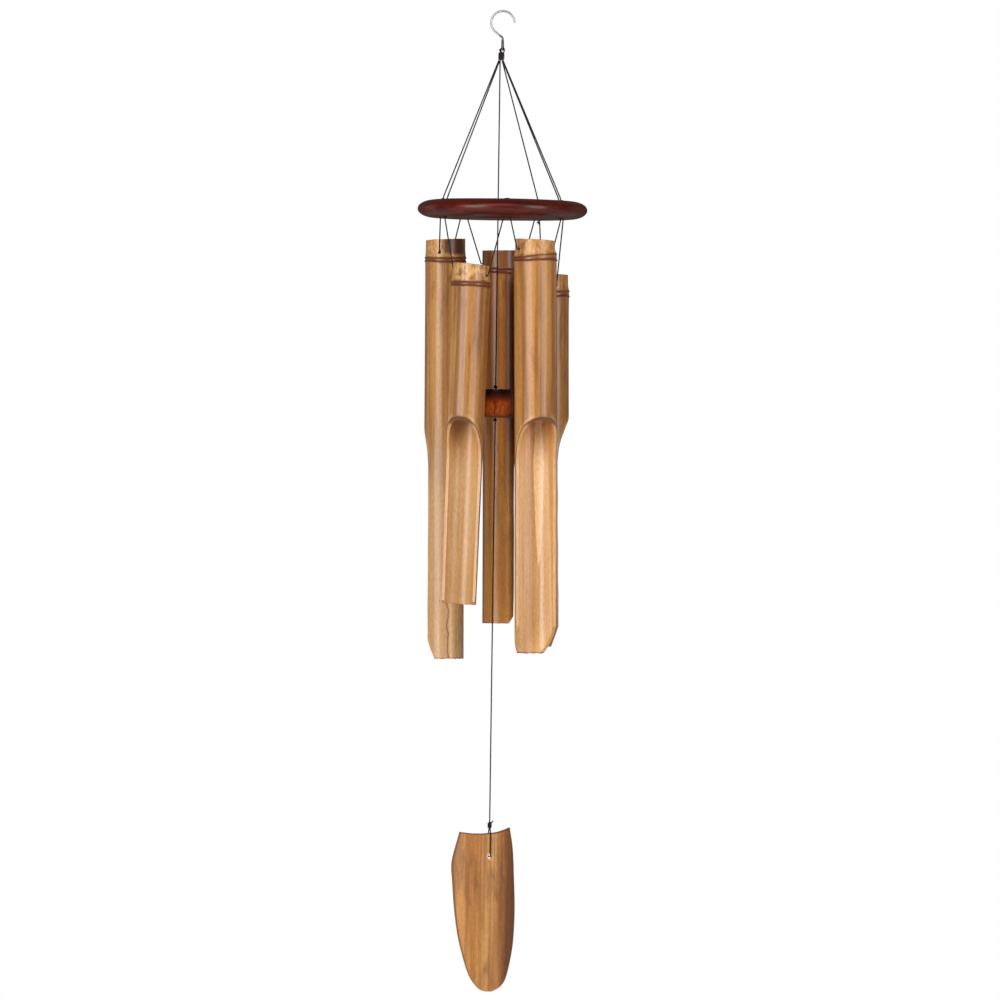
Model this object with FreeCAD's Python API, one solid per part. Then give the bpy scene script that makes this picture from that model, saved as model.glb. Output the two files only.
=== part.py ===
import FreeCAD, Part
import math
import os

# Bamboo wind chime. Millimetres, +Z up, +Y away from the front.
# Origin: the inside top of the hook, where it rests on a peg.
# An azimuth counts from the front (-Y) towards the right (+X), in degrees.

# Cord
CORD = 0.6                      # radius of every cord
CORD_GAP = 0.4                  # between two lengths of cord that bend where they meet

# Hook: one steel wire, an open C above and a closed eye below
WIRE = 1.0                      # radius of the wire
C_RADIUS = 10.9                 # middle of the wire in the C
C_TIP, C_END = 6, 232           # where the C starts and ends, from +X over the top
C_NECK_BEND = 2.4               # bend from the C's tail into the upright neck
NECK_END = -24.9                # height where the neck starts to bend into the eye
EYE_RADIUS, EYE_NECK_BEND = 4.2, 2.0
EYE_TURN = 6                    # the eye stands nearly square to the C
EYE_END = 115                   # where the eye's wire ends, in its own plane

# Loop and knot at the top
LOOP_RADIUS = 1.75              # middle of the cord that goes over the eye's wire
LOOP_LEG = 1.5
KNOT_X = -1.0
KNOT_DROP = 1.9                 # from the eye's lowest wire to the knot's top
KNOT_RADIUS, KNOT_HEIGHT = 3.0, 8.0
PLUMB_X = -2.1                  # the clapper's cord hangs here

# Ring
RING_X, RING_Z = 2.0, -183.6
RING_OUTER, RING_INNER, RING_HEIGHT = 79.0, 39.0, 16.5
RING_ROUNDING = 15.0            # width of the rounded flank, on each side of the band
HOLE_RADIUS = 2.0
HOLE_SIDE = 1.2                 # cords lie side by side in a hole, this far off its middle
# Each pair of cord holes: its azimuth, how far out it is, and how far each hole is from its middle
HOLE_PAIRS = {"front": (4, 59.0, 3.0), "right": (69.5, 58.0, 3.0), "back_right": (147.5, 59.0, 3.0),
              "back_left": (216.5, 59.0, 4.5), "left": (297, 61.0, 4.4)}
LACING_BEND, STITCH_BEND, EDGE_BEND = 1.3, 1.25, 3.0
BACK_HOLE_CIRCLE, BACK_HOLE_RADIUS = 62.5, 1.0   # the single cord at the back right has its own hole
BACK_KNOT_RADIUS, BACK_KNOT_HEIGHT = 1.9, 2.6
# Where each cord leaves the top knot, sideways and backwards from its middle
EXITS = {"left": [(-2.3, -0.9), (-1.4, -2.0)], "right": [(1.0, -1.8), (1.6, -0.5)], "back": [(0.8, 1.3)]}
EXIT_GAP = 0.35

# Tubes. Heights are measured from the side holes that each tube hangs by; positive is up.
WALL = 3.0
SIDE_HOLE = 1.5
SEPTUM = 3.0
RIDGE_OUT, RIDGE_HALF = 0.9, 2.6
STAND_OFF = 0.8                 # a strand ends this far outside the tube's wall
TUBES = {
    "left": dict(between=("back_left", "left"), azimuth=253.1, offset=54.9, radius=18.9,
                 holes_z=-224.3, top=12.6, node=6.3, length=378.0, scoop=154.4, run_out=43,
                 opens=219, bevel=(18, 8), lean=(0.5, 0.3)),
    "front_left": dict(between=("left", "front"), azimuth=326, offset=50.5, radius=17.9,
                       holes_z=-246.6, top=10.7, node=7.8, length=304.4, scoop=130.7, run_out=43,
                       opens=340, bevel=(3, 4), lean=(-1.45, -0.7)),
    "back": dict(between=("back_right", "back_left"), azimuth=180, offset=50.0, radius=18.6,
                 holes_z=-232.4, top=12.1, node=7.0, length=336.6, scoop=150.0, run_out=43,
                 opens=127, bevel=(7, 5), lean=(0.8, 0.9)),
    "front_right": dict(between=("front", "right"), azimuth=36.8, offset=51.2, radius=20.0,
                        holes_z=-221.5, top=8.8, node=8.7, length=374.0, scoop=155.5, run_out=43,
                        opens=20, bevel=(25, 15), lean=(0.9, -0.7)),
    "right": dict(between=("right", "back_right"), azimuth=110, offset=47.5, radius=18.2,
                  holes_z=-253.5, top=10.6, node=8.2, length=336.0, scoop=121.0, run_out=43,
                  opens=114, bevel=(19, 7), lean=(1.0, 0.3)),
}
TUBE_KNOT = 2.2                 # radius of the knot inside each side hole

# Striker and wind catcher
LEAD = 4.0                      # the clapper cord's first few millimetres, where it bends
STRIKER_TOP, STRIKER_BOTTOM = -350.5, -377.3
STRIKER_RADIUS, STRIKER_TOP_RADIUS, STRIKER_BORE = 16.6, 15.6, 1.3
STRIKER_EDGE = 2.0
STRIKER_KNOT, CATCHER_KNOT = 1.9, 1.9
SAIL_RADIUS, SAIL_WALL = 44.5, 3.2
SAIL_TURN = 22.5                # the slat's middle faces this far to the right of the front
SAIL_TOP = -759.5
# The slat's edge as sideways place and height from SAIL_TOP: the top's dip, then round the foot
SAIL_DIP = (-5.0, -3.9)
SAIL_OUTLINE = [(22.2, 0.8), (26.8, -19.4), (29.1, -45.0), (31.0, -77.1), (27.9, -108.4), (18.4, -137.4),
                (10.3, -146.8), (2.0, -150.4), (-5.0, -149.6), (-15.8, -135.6), (-24.1, -106.9),
                (-28.1, -79.8), (-30.6, -50.2), (-31.5, -30.2), (-26.3, -3.3)]
SAIL_HOLE_Z, SAIL_HOLE = -785.4, 2.1
SAIL_KNOT_Z, SAIL_KNOT_RADIUS, SAIL_KNOT_HEIGHT = -756.1, 2.1, 6.4
SAIL_LEG_GAP, SAIL_LEG_GAP_BACK = 0.9, 1.8
LOOP_BEND, LOOP_SHOULDER, SHOULDER_DROP = 1.6, 1.2, 2.2
SAIL_SKIN = (SAIL_WALL + SAIL_LEG_GAP_BACK - SAIL_LEG_GAP) / 2   # the slat's face, from the plumb line

V = FreeCAD.Vector
UP = V(0, 0, 1)
RING_TOP = RING_Z + RING_HEIGHT / 2
RING_BOTTOM = RING_Z - RING_HEIGHT / 2
EYE_Z = NECK_END - math.sqrt((EYE_RADIUS + EYE_NECK_BEND) ** 2 - EYE_NECK_BEND ** 2)
EYE_WIRE_Z = EYE_Z - EYE_RADIUS
KNOT_TOP = EYE_WIRE_Z - KNOT_DROP
KNOT_BOTTOM = KNOT_TOP - KNOT_HEIGHT


def outward(azimuth):
    a = math.radians(azimuth)
    return V(math.sin(a), -math.cos(a), 0)


def along(azimuth):
    """The level direction square to outward, in which the azimuth grows."""
    a = math.radians(azimuth)
    return V(math.cos(a), math.sin(a), 0)


def on_ring(azimuth, radius, z):
    return V(RING_X, 0, z) + outward(azimuth) * radius


# ---------------------------------------------------------------- shapes

def rod(start, end, radius=CORD):
    return Part.makeCylinder(radius, (end - start).Length, start, end - start)


def rounded_path(points, bends):
    """Straight runs joined by tangent arcs, one bend radius for each inner point."""
    edges, here = [], points[0]
    for before, corner, after, radius in zip(points, points[1:], points[2:], bends):
        back, on = (before - corner).normalize(), (after - corner).normalize()
        half = back.getAngle(on) / 2
        reach = radius / math.tan(half)
        first, last = corner + back * reach, corner + on * reach
        inner = (back + on).normalize()
        middle = corner + inner * (radius / math.sin(half) - radius)
        edges.append(Part.LineSegment(here, first).toShape())
        edges.append(Part.Arc(first, middle, last).toShape())
        here = last
    edges.append(Part.LineSegment(here, points[-1]).toShape())
    return Part.Wire(edges)


def pipe(path, start, heading, radius=CORD):
    profile = Part.Wire(Part.makeCircle(radius, start, heading))
    return path.makePipeShell([profile], True, True)


def cord(name, points, bends):
    """A cord's solid. Prints its length, and its volume against section times length."""
    path = rounded_path(points, bends)
    solid = pipe(path, points[0], points[1] - points[0])
    expected = math.pi * CORD ** 2 * path.Length
    share = solid.Volume / expected
    print(f"{name}: {path.Length:.1f} mm, radii {bends}, volume {share:.3f} of section times length")
    return solid


def wound_knot(centre, radius, height, bore=0.0):
    """A cord's knot, plain outside: a barrel with rounded ends, bored where the cord runs through."""
    round_end = min(radius, height / 2) * 0.35
    body = Part.makeCylinder(radius, height, centre - UP * (height / 2))
    body = body.makeFillet(round_end, [e for e in body.Edges if e.Closed and not e.isSeam(body.Faces[0])])
    if bore:
        body = body.cut(Part.makeCylinder(bore, height + 2, centre - UP * (height / 2 + 1)))
    return body


def ball_knot(centre, radius, bore=0.0, direction=UP):
    ball = Part.makeSphere(radius, centre)
    if bore:
        ball = ball.cut(Part.makeCylinder(bore, 2 * radius + 2, centre - direction * (radius + 1), direction))
    return ball


# ---------------------------------------------------------------- hook, loop and top knot

def hanging_hook():
    centre = V(0, 0, WIRE - C_RADIUS)

    def on_c(angle):
        a = math.radians(angle)
        return centre + V(math.cos(a), 0, math.sin(a)) * C_RADIUS

    tip, tail = on_c(C_TIP), on_c(C_END)
    a = math.radians(C_END)
    slope = V(-math.sin(a), 0, math.cos(a))
    corner = tail + slope * (-tail.x / slope.x)
    turn = math.acos(-slope.z)
    reach = C_NECK_BEND * math.tan(turn / 2)
    bend_start, bend_end = corner - slope * reach, corner - UP * reach
    bend_centre = bend_end + V(-C_NECK_BEND, 0, 0)
    half = turn / 2
    bend_middle = bend_centre + V(math.cos(half), 0, math.sin(half)) * C_NECK_BEND

    across = V(math.sin(math.radians(EYE_TURN)), math.cos(math.radians(EYE_TURN)), 0)
    neck = V(0, 0, NECK_END)
    eye = V(0, 0, EYE_Z)

    def on_eye(angle):
        a = math.radians(angle)
        return eye + (across * math.cos(a) + UP * math.sin(a)) * EYE_RADIUS

    meet = math.degrees(math.atan2(NECK_END - EYE_Z, EYE_NECK_BEND))
    small = neck + across * EYE_NECK_BEND
    swing = math.radians(180 - meet) / 2
    neck_middle = small + (across * -math.cos(swing) - UP * math.sin(swing)) * EYE_NECK_BEND
    path = Part.Wire([
        Part.Arc(tip, on_c((C_TIP + C_END) / 2), tail).toShape(),
        Part.LineSegment(tail, bend_start).toShape(),
        Part.Arc(bend_start, bend_middle, bend_end).toShape(),
        Part.LineSegment(bend_end, neck).toShape(),
        Part.Arc(neck, neck_middle, on_eye(meet)).toShape(),
        Part.Arc(on_eye(meet), on_eye((meet + EYE_END - 360) / 2), on_eye(EYE_END - 360)).toShape(),
    ])
    t = math.radians(C_TIP)
    wire = pipe(path, tip, V(-math.sin(t), 0, math.cos(t)), WIRE)
    return wire.fuse(Part.makeSphere(WIRE, tip)).removeSplitter()


def eye_directions():
    """The level lines along the eye's wire at its lowest point, and square to the eye."""
    a = math.radians(EYE_TURN)
    return V(math.sin(a), math.cos(a), 0), V(math.cos(a), -math.sin(a), 0)


def hook_loop():
    square = eye_directions()[1]
    middle = V(0, 0, EYE_WIRE_Z)
    left, right = middle - square * LOOP_RADIUS, middle + square * LOOP_RADIUS
    path = Part.Wire([
        Part.LineSegment(left - UP * LOOP_LEG, left).toShape(),
        Part.Arc(left, middle + UP * LOOP_RADIUS, right).toShape(),
        Part.LineSegment(right, right - UP * LOOP_LEG).toShape(),
    ])
    return pipe(path, left - UP * LOOP_LEG, UP)


def top_knot():
    return wound_knot(V(KNOT_X, 0, (KNOT_TOP + KNOT_BOTTOM) / 2), KNOT_RADIUS, KNOT_HEIGHT)


# ---------------------------------------------------------------- ring and what is laced to it

def hole_points(pair, side, z):
    """Two places in a pair of holes. side is 0 for their middles, +1 for lacing, -1 for suspension."""
    azimuth, reach, spread = HOLE_PAIRS[pair]
    middle = on_ring(azimuth, reach + side * HOLE_SIDE, z)
    return [middle - along(azimuth) * spread, middle + along(azimuth) * spread]


def band_section():
    """The ring's section: flat above and below, an elliptical flank on each side."""
    half = RING_HEIGHT / 2
    inner_flat, outer_flat = RING_INNER + RING_ROUNDING, RING_OUTER - RING_ROUNDING

    def flank(x, sign):
        steps = [math.radians(15 * step - 90) for step in range(13)]
        curve = Part.BSplineCurve()
        curve.interpolate([V(x + sign * RING_ROUNDING * math.cos(a), 0, RING_Z + half * math.sin(a))
                           for a in steps])
        return curve.toShape()

    return Part.Wire([
        flank(outer_flat, 1),
        Part.LineSegment(V(outer_flat, 0, RING_TOP), V(inner_flat, 0, RING_TOP)).toShape(),
        flank(inner_flat, -1),
        Part.LineSegment(V(inner_flat, 0, RING_BOTTOM), V(outer_flat, 0, RING_BOTTOM)).toShape(),
    ])


def top_ring():
    ring = Part.Face(band_section()).revolve(V(0, 0, 0), UP, 360)
    ring.translate(V(RING_X, 0, 0))
    for pair in HOLE_PAIRS:
        for foot in hole_points(pair, 0, RING_BOTTOM - 1):
            ring = ring.cut(Part.makeCylinder(HOLE_RADIUS, RING_HEIGHT + 2, foot))
    return ring.cut(Part.makeCylinder(BACK_HOLE_RADIUS, RING_HEIGHT + 2, back_hole(RING_BOTTOM - 1)))


def lacing(pair):
    """The stretch of tube cord that goes up one hole, over the ring and down the next."""
    low, high = hole_points(pair, 1, RING_BOTTOM), hole_points(pair, 1, RING_TOP + CORD + 0.05)
    points = [low[0], high[0], high[1], low[1]]
    return cord(f"ring_lacing_{pair}", points, [LACING_BEND] * 2)


def knot_exits(side):
    return [V(KNOT_X + x, y, KNOT_BOTTOM - EXIT_GAP) for x, y in EXITS[side]]


def suspension_stitch(pair):
    """A cord from the top knot down one hole, under the ring, and up the next to the knot."""
    low, high = hole_points(pair, -1, RING_BOTTOM - CORD - 0.05), hole_points(pair, -1, RING_TOP + 1)
    start, end = knot_exits(pair)
    points = [start, high[0], low[0], low[1], high[1], end]
    bends = [EDGE_BEND, STITCH_BEND, STITCH_BEND, EDGE_BEND]
    return cord(f"suspension_cord_{pair}", points, bends)


def back_hole(z):
    return on_ring(HOLE_PAIRS["back_right"][0], BACK_HOLE_CIRCLE, z)


def suspension_back():
    points = knot_exits("back") + [back_hole(RING_TOP + 1), back_hole(RING_BOTTOM - 0.1)]
    return cord("suspension_cord_back", points, [EDGE_BEND])


def ring_knot_back():
    return wound_knot(back_hole(RING_BOTTOM - 0.15 - BACK_KNOT_HEIGHT / 2), BACK_KNOT_RADIUS, BACK_KNOT_HEIGHT)


# ---------------------------------------------------------------- tubes

def hang_frame(tube):
    """Where a tube hangs: the middle of its side holes' line, with X outward along the tube's own
    level, Y along the line of the holes and Z up the tube."""
    lean_x, lean_y = tube["lean"]
    turn = FreeCAD.Rotation(V(0, 1, 0), -lean_x)
    turn = turn.multiply(FreeCAD.Rotation(V(1, 0, 0), lean_y))
    turn = turn.multiply(FreeCAD.Rotation(UP, tube["azimuth"] - 90))
    return FreeCAD.Placement(on_ring(tube["azimuth"], tube["offset"], tube["holes_z"]), turn)


def scoop_cutter(tube):
    """Takes away the half that faces the opening, with a round run-out at its top."""
    r, bottom = tube["radius"] + 1, -tube["length"] - 5
    apex, lip = -tube["scoop"], -tube["scoop"] - tube["run_out"]
    drum = (tube["radius"] ** 2 + tube["run_out"] ** 2) / (2 * tube["radius"])

    def on_drum(x):
        return V(x, 0, lip + math.sqrt(drum ** 2 - (drum - x) ** 2))

    far = V(r, 0, on_drum(min(r, drum)).z)
    outline = Part.Wire([
        Part.LineSegment(V(0, 0, bottom), V(0, 0, lip)).toShape(),
        Part.Arc(V(0, 0, lip), on_drum(r / 3), far).toShape(),
        Part.LineSegment(far, V(r + 10, 0, max(far.z, apex))).toShape(),
        Part.LineSegment(V(r + 10, 0, max(far.z, apex)), V(r + 10, 0, bottom)).toShape(),
        Part.LineSegment(V(r + 10, 0, bottom), V(0, 0, bottom)).toShape(),
    ])
    return Part.Face(outline).extrude(V(0, 4 * r, 0)).translated(V(0, -2 * r, 0))


def bevel_cutter(tube):
    """Takes the two lower corners off the half shell, with one slanting plane."""
    height, depth = tube["bevel"]
    r, bottom = tube["radius"] + 10, -tube["length"]
    slope = height / depth
    corners = [V(-depth, 0, bottom), V(2, 0, bottom + height + 2 * slope), V(r, 0, bottom + height),
               V(r, 0, bottom - 5), V(-depth, 0, bottom - 5)]
    face = Part.Face(Part.makePolygon(corners + corners[:1]))
    return face.extrude(V(0, 4 * r, 0)).translated(V(0, -2 * r, 0))


def bamboo(tube):
    r, inner, node = tube["radius"], tube["radius"] - WALL, -tube["node"]
    top, bottom = tube["top"], -tube["length"]
    outside = Part.BSplineCurve()
    outside.interpolate([V(r, 0, node + RIDGE_HALF), V(r + RIDGE_OUT, 0, node), V(r, 0, node - RIDGE_HALF)])
    section = Part.Wire([
        Part.LineSegment(V(0, 0, top), V(r, 0, top)).toShape(),
        Part.LineSegment(V(r, 0, top), V(r, 0, node + RIDGE_HALF)).toShape(),
        outside.toShape(),
        Part.LineSegment(V(r, 0, node - RIDGE_HALF), V(r, 0, bottom)).toShape(),
        Part.LineSegment(V(r, 0, bottom), V(0, 0, bottom)).toShape(),
        Part.LineSegment(V(0, 0, bottom), V(0, 0, top)).toShape(),
    ])
    body = Part.Face(section).revolve(V(0, 0, 0), UP, 360)
    septum_top, septum_bottom = node + SEPTUM / 2, node - SEPTUM / 2
    body = body.cut(Part.makeCylinder(inner, top - septum_top + 1, V(0, 0, septum_top)))
    body = body.cut(Part.makeCylinder(inner, septum_bottom - bottom + 1, V(0, 0, bottom - 1)))
    body = body.cut(Part.makeCylinder(SIDE_HOLE, 4 * r, V(0, -2 * r, 0), V(0, 1, 0)))
    opening = tube["opens"] - tube["azimuth"]
    for cutter in (scoop_cutter(tube), bevel_cutter(tube)):
        cutter.rotate(V(0, 0, 0), UP, opening)
        body = body.cut(cutter)
    body.Placement = hang_frame(tube)
    return body


def tube_knots(tube):
    """The two stopper knots inside the tube, each with the short run of cord in its side hole."""
    r = tube["radius"]
    solids = []
    for sign in (-1, 1):
        side = V(0, sign, 0)
        centre = side * (r - WALL - TUBE_KNOT - 0.1)
        stub = rod(centre + side * TUBE_KNOT * 0.9, side * (r + STAND_OFF - CORD_GAP - 0.3))
        solids.append(Part.makeSphere(TUBE_KNOT, centre).fuse(stub))
    group = Part.makeCompound(solids)
    group.Placement = hang_frame(tube)
    return group


def strand_ends(tube):
    """For each of the tube's two strands: its top at the ring and its foot at the side hole."""
    frame = hang_frame(tube)
    first, last = tube["between"]
    tops = [hole_points(first, 1, RING_BOTTOM - CORD_GAP)[1], hole_points(last, 1, RING_BOTTOM - CORD_GAP)[0]]
    feet = [frame.multVec(V(0, sign * (tube["radius"] + STAND_OFF), 0)) for sign in (-1, 1)]
    return list(zip(tops, feet))


# ---------------------------------------------------------------- striker and wind catcher

def plumb(z):
    return V(PLUMB_X, 0, z)


LEAD_TOP = KNOT_BOTTOM - 0.15
LEAD_BOTTOM = LEAD_TOP - LEAD
CATCHER_KNOT_Z = STRIKER_BOTTOM - CATCHER_KNOT - 0.1
SAIL_CORD_TOP = CATCHER_KNOT_Z - CATCHER_KNOT - 0.15
SAIL_CORD_BOTTOM = SAIL_KNOT_Z + SAIL_KNOT_HEIGHT / 2 + 0.15


def clapper_cord():
    return rod(plumb(LEAD_BOTTOM - 0.15), plumb(STRIKER_BOTTOM + 0.2))


def striker():
    r, top_r, edge = STRIKER_RADIUS, STRIKER_TOP_RADIUS, STRIKER_EDGE
    low, high = STRIKER_BOTTOM, STRIKER_TOP
    wide = low + 0.45 * (high - low)
    k = edge * (1 - math.cos(math.radians(45)))
    section = Part.Wire([
        Part.LineSegment(V(0, 0, low), V(r - edge - 0.4, 0, low)).toShape(),
        Part.Arc(V(r - edge - 0.4, 0, low), V(r - 0.4 - k, 0, low + k), V(r - 0.4, 0, low + edge)).toShape(),
        Part.Arc(V(r - 0.4, 0, low + edge), V(r, 0, wide), V(top_r, 0, high - edge)).toShape(),
        Part.Arc(V(top_r, 0, high - edge), V(top_r - k, 0, high - k), V(top_r - edge, 0, high)).toShape(),
        Part.LineSegment(V(top_r - edge, 0, high), V(0, 0, high)).toShape(),
        Part.LineSegment(V(0, 0, high), V(0, 0, low)).toShape(),
    ])
    body = Part.Face(section).revolve(V(0, 0, 0), UP, 360)
    body = body.cut(Part.makeCylinder(STRIKER_BORE, high - low + 2, V(0, 0, low - 1)))
    return body.translated(V(PLUMB_X, 0, 0))


def striker_knot_top():
    return ball_knot(plumb(STRIKER_TOP + STRIKER_KNOT + 0.05), STRIKER_KNOT, CORD + 0.03)


def sail():
    """A slat split from a wide culm, rounded face forward, hung by a hole near its top."""
    shell = Part.makeCylinder(SAIL_RADIUS, 160, V(0, 0, -155))
    shell = shell.cut(Part.makeCylinder(SAIL_RADIUS - SAIL_WALL, 164, V(0, 0, -157)))
    edge = [V(x, 0, z) for x, z in SAIL_OUTLINE]
    side = Part.BSplineCurve()
    side.interpolate(edge)
    top = Part.Arc(edge[-1], V(SAIL_DIP[0], 0, SAIL_DIP[1]), edge[0]).toShape()
    blank = Part.Face(Part.Wire([side.toShape(), top])).extrude(V(0, -2 * SAIL_RADIUS, 0))
    slat = shell.common(blank)
    hole = V(0, 0, SAIL_HOLE_Z - SAIL_TOP)
    slat = slat.cut(Part.makeCylinder(SAIL_HOLE, 2 * SAIL_RADIUS, hole, V(0, -1, 0)))
    slat.rotate(V(0, 0, 0), UP, SAIL_TURN)
    return slat.translated(plumb(SAIL_TOP) + outward(SAIL_TURN) * (SAIL_SKIN - SAIL_RADIUS))


def sail_loop():
    """The cord's loop: down the slat's face, in at the hole and up its back to the knot."""
    face = outward(SAIL_TURN)
    front = face * (SAIL_SKIN + SAIL_LEG_GAP)
    back = face * (SAIL_SKIN - SAIL_WALL - SAIL_LEG_GAP_BACK)
    top = SAIL_KNOT_Z - SAIL_KNOT_HEIGHT / 2 - EXIT_GAP
    shoulder = top - SHOULDER_DROP
    points = [plumb(top) + face * 0.9, plumb(shoulder) + front, plumb(SAIL_HOLE_Z) + front,
              plumb(SAIL_HOLE_Z) + back, plumb(shoulder) + back, plumb(top) - face * 0.9]
    return cord("sail_loop", points, [LOOP_SHOULDER, LOOP_BEND, LOOP_BEND, LOOP_SHOULDER])


def sail_knot():
    return wound_knot(plumb(SAIL_KNOT_Z), SAIL_KNOT_RADIUS, SAIL_KNOT_HEIGHT)


# ---------------------------------------------------------------- write every node

def all_nodes():
    nodes = {
        "hanging_hook": hanging_hook(),
        "hook_loop": hook_loop(),
        "top_knot": top_knot(),
        "top_ring": top_ring(),
        "suspension_cord_left": suspension_stitch("left"),
        "suspension_cord_right": suspension_stitch("right"),
        "suspension_cord_back": suspension_back(),
        "ring_knot_back": ring_knot_back(),
        "clapper_cord_bend": rod(plumb(LEAD_BOTTOM), plumb(LEAD_TOP)),
        "clapper_cord": clapper_cord(),
        "striker_knot_top": striker_knot_top(),
        "striker": striker(),
        "striker_knot_bottom": ball_knot(plumb(CATCHER_KNOT_Z), CATCHER_KNOT),
        "sail_cord": rod(plumb(SAIL_CORD_BOTTOM), plumb(SAIL_CORD_TOP)),
        "sail_knot": sail_knot(),
        "sail_loop": sail_loop(),
        "sail": sail(),
    }
    for pair in HOLE_PAIRS:
        nodes[f"ring_lacing_{pair}"] = lacing(pair)
    for name, tube in TUBES.items():
        nodes[f"tube_{name}"] = bamboo(tube)
        nodes[f"tube_{name}_knots"] = tube_knots(tube)
        for number, (top, foot) in enumerate(strand_ends(tube), 1):
            nodes[f"strand_{name}_{number}"] = rod(top, foot)
            print(f"strand_{name}_{number}: {(foot - top).Length:.1f} mm")
    return nodes


os.makedirs("parts", exist_ok=True)
for node, shape in all_nodes().items():
    shape.exportStep(f"parts/{node}.step")
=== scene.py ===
import math

import bmesh
import bpy
import numpy as np
from mathutils import Matrix, Vector, noise


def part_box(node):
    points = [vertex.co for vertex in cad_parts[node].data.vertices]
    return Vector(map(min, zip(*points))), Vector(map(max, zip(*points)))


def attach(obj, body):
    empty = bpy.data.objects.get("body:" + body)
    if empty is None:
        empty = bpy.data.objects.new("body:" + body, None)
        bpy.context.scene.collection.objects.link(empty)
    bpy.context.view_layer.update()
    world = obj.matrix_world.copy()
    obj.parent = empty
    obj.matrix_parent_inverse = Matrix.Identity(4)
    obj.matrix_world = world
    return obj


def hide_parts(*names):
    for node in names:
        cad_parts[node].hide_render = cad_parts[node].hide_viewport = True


# A bamboo wind chime: wire hook, laid cords, turned ring, scooped tubes, striker and wind catcher.
# Shapes are worked out in millimetres and become metres when a piece is made.

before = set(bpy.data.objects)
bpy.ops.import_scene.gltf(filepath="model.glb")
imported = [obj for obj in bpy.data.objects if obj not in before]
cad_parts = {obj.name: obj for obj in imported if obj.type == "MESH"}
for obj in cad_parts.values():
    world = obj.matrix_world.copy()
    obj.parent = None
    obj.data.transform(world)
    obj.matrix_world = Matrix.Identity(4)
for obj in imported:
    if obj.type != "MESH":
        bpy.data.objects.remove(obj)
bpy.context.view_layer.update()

MM = 0.001
UP = np.array([0.0, 0.0, 1.0])

# Cord
CORD = 0.6                      # radius
CORD_LAY = 4.4                  # length of one turn of its three strands
CORD_LOBES = 0.13               # how far the strands stand out, as a share of the radius
CORD_SIDES, CORD_STEP = 12, 0.55
TUCK = 0.35                     # how far a cord runs into the knot or the cord that it meets
KNOT_CORD = 0.5                 # radius of the cord in a drawn-up overhand knot

# Hook
WIRE, C_RADIUS, C_TIP, C_END, C_NECK_BEND = 1.0, 10.9, 6, 232, 2.4
NECK_END, EYE_RADIUS, EYE_NECK_BEND, EYE_TURN, EYE_END = -24.9, 4.2, 2.0, 6, 115

# Ring and the cord holes in it
RING_INNER, RING_OUTER, RING_ROUNDING = 39.0, 79.0, 15.0
HOLE_RADIUS, HOLE_SIDE = 2.0, 1.2
# Each pair of holes: its azimuth, how far out it is, and how far each hole is from its middle
HOLE_PAIRS = {"front": (4, 59.0, 3.0), "right": (69.5, 58.0, 3.0), "back_right": (147.5, 59.0, 3.0),
              "back_left": (216.5, 59.0, 4.5), "left": (297, 61.0, 4.4)}
BACK_HOLE_CIRCLE, BACK_HOLE_RADIUS = 62.5, 1.0
EXITS = {"left": [(-2.3, -0.9), (-1.4, -2.0)], "right": [(1.0, -1.8), (1.6, -0.5)], "back": [(0.8, 1.3)]}
LEAD_IN = 7.2                   # on a long straight run, a route has a point this near its corner

# Tubes. Heights count from the side holes that a tube hangs by. Angles in a tube's own marks
# count from the middle of its opening, towards the right. rim is how much wider or narrower the
# top end is and how far the rim rises to the right; lips is half the height between the node's two
# lips and how much that varies; a scar is (angle, height above the node, half width), a stain is
# (angle, half width, height, half height, depth), a flame (angle, half width, top, tip) is paler
# wood inside, and a crack is (angle, top, bottom). The back tube's two long stripes among its stain
# entries are painted shade from the tubes in front of it. dark, raw (mottled skin above the node)
# and faded (paler skin low down) go from 0 to 1. tint colours the whole tube, and hollow its
# inside; on the back and right tubes, dark and tint also paint the skin darker as shade.
WALL, SEPTUM, RIM, SIDE_HOLE = 3.0, 3.0, 0.35, 1.5
RUN_OUT = 43.0                  # height of the opening's round top
COLUMNS, WALL_STEPS = 96, 3
LIP_HEIGHT, LIP_WIDTH = 0.85, 0.6
WHITE = (255, 255, 255)


def tube_of(**own):
    """A tube's sizes and marks, with those that most tubes lack filled in."""
    return dict(foot=0.0, scars=[], stains=[], flames=[], cracks=[], faded=0.0, hollow=WHITE) | own


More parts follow.
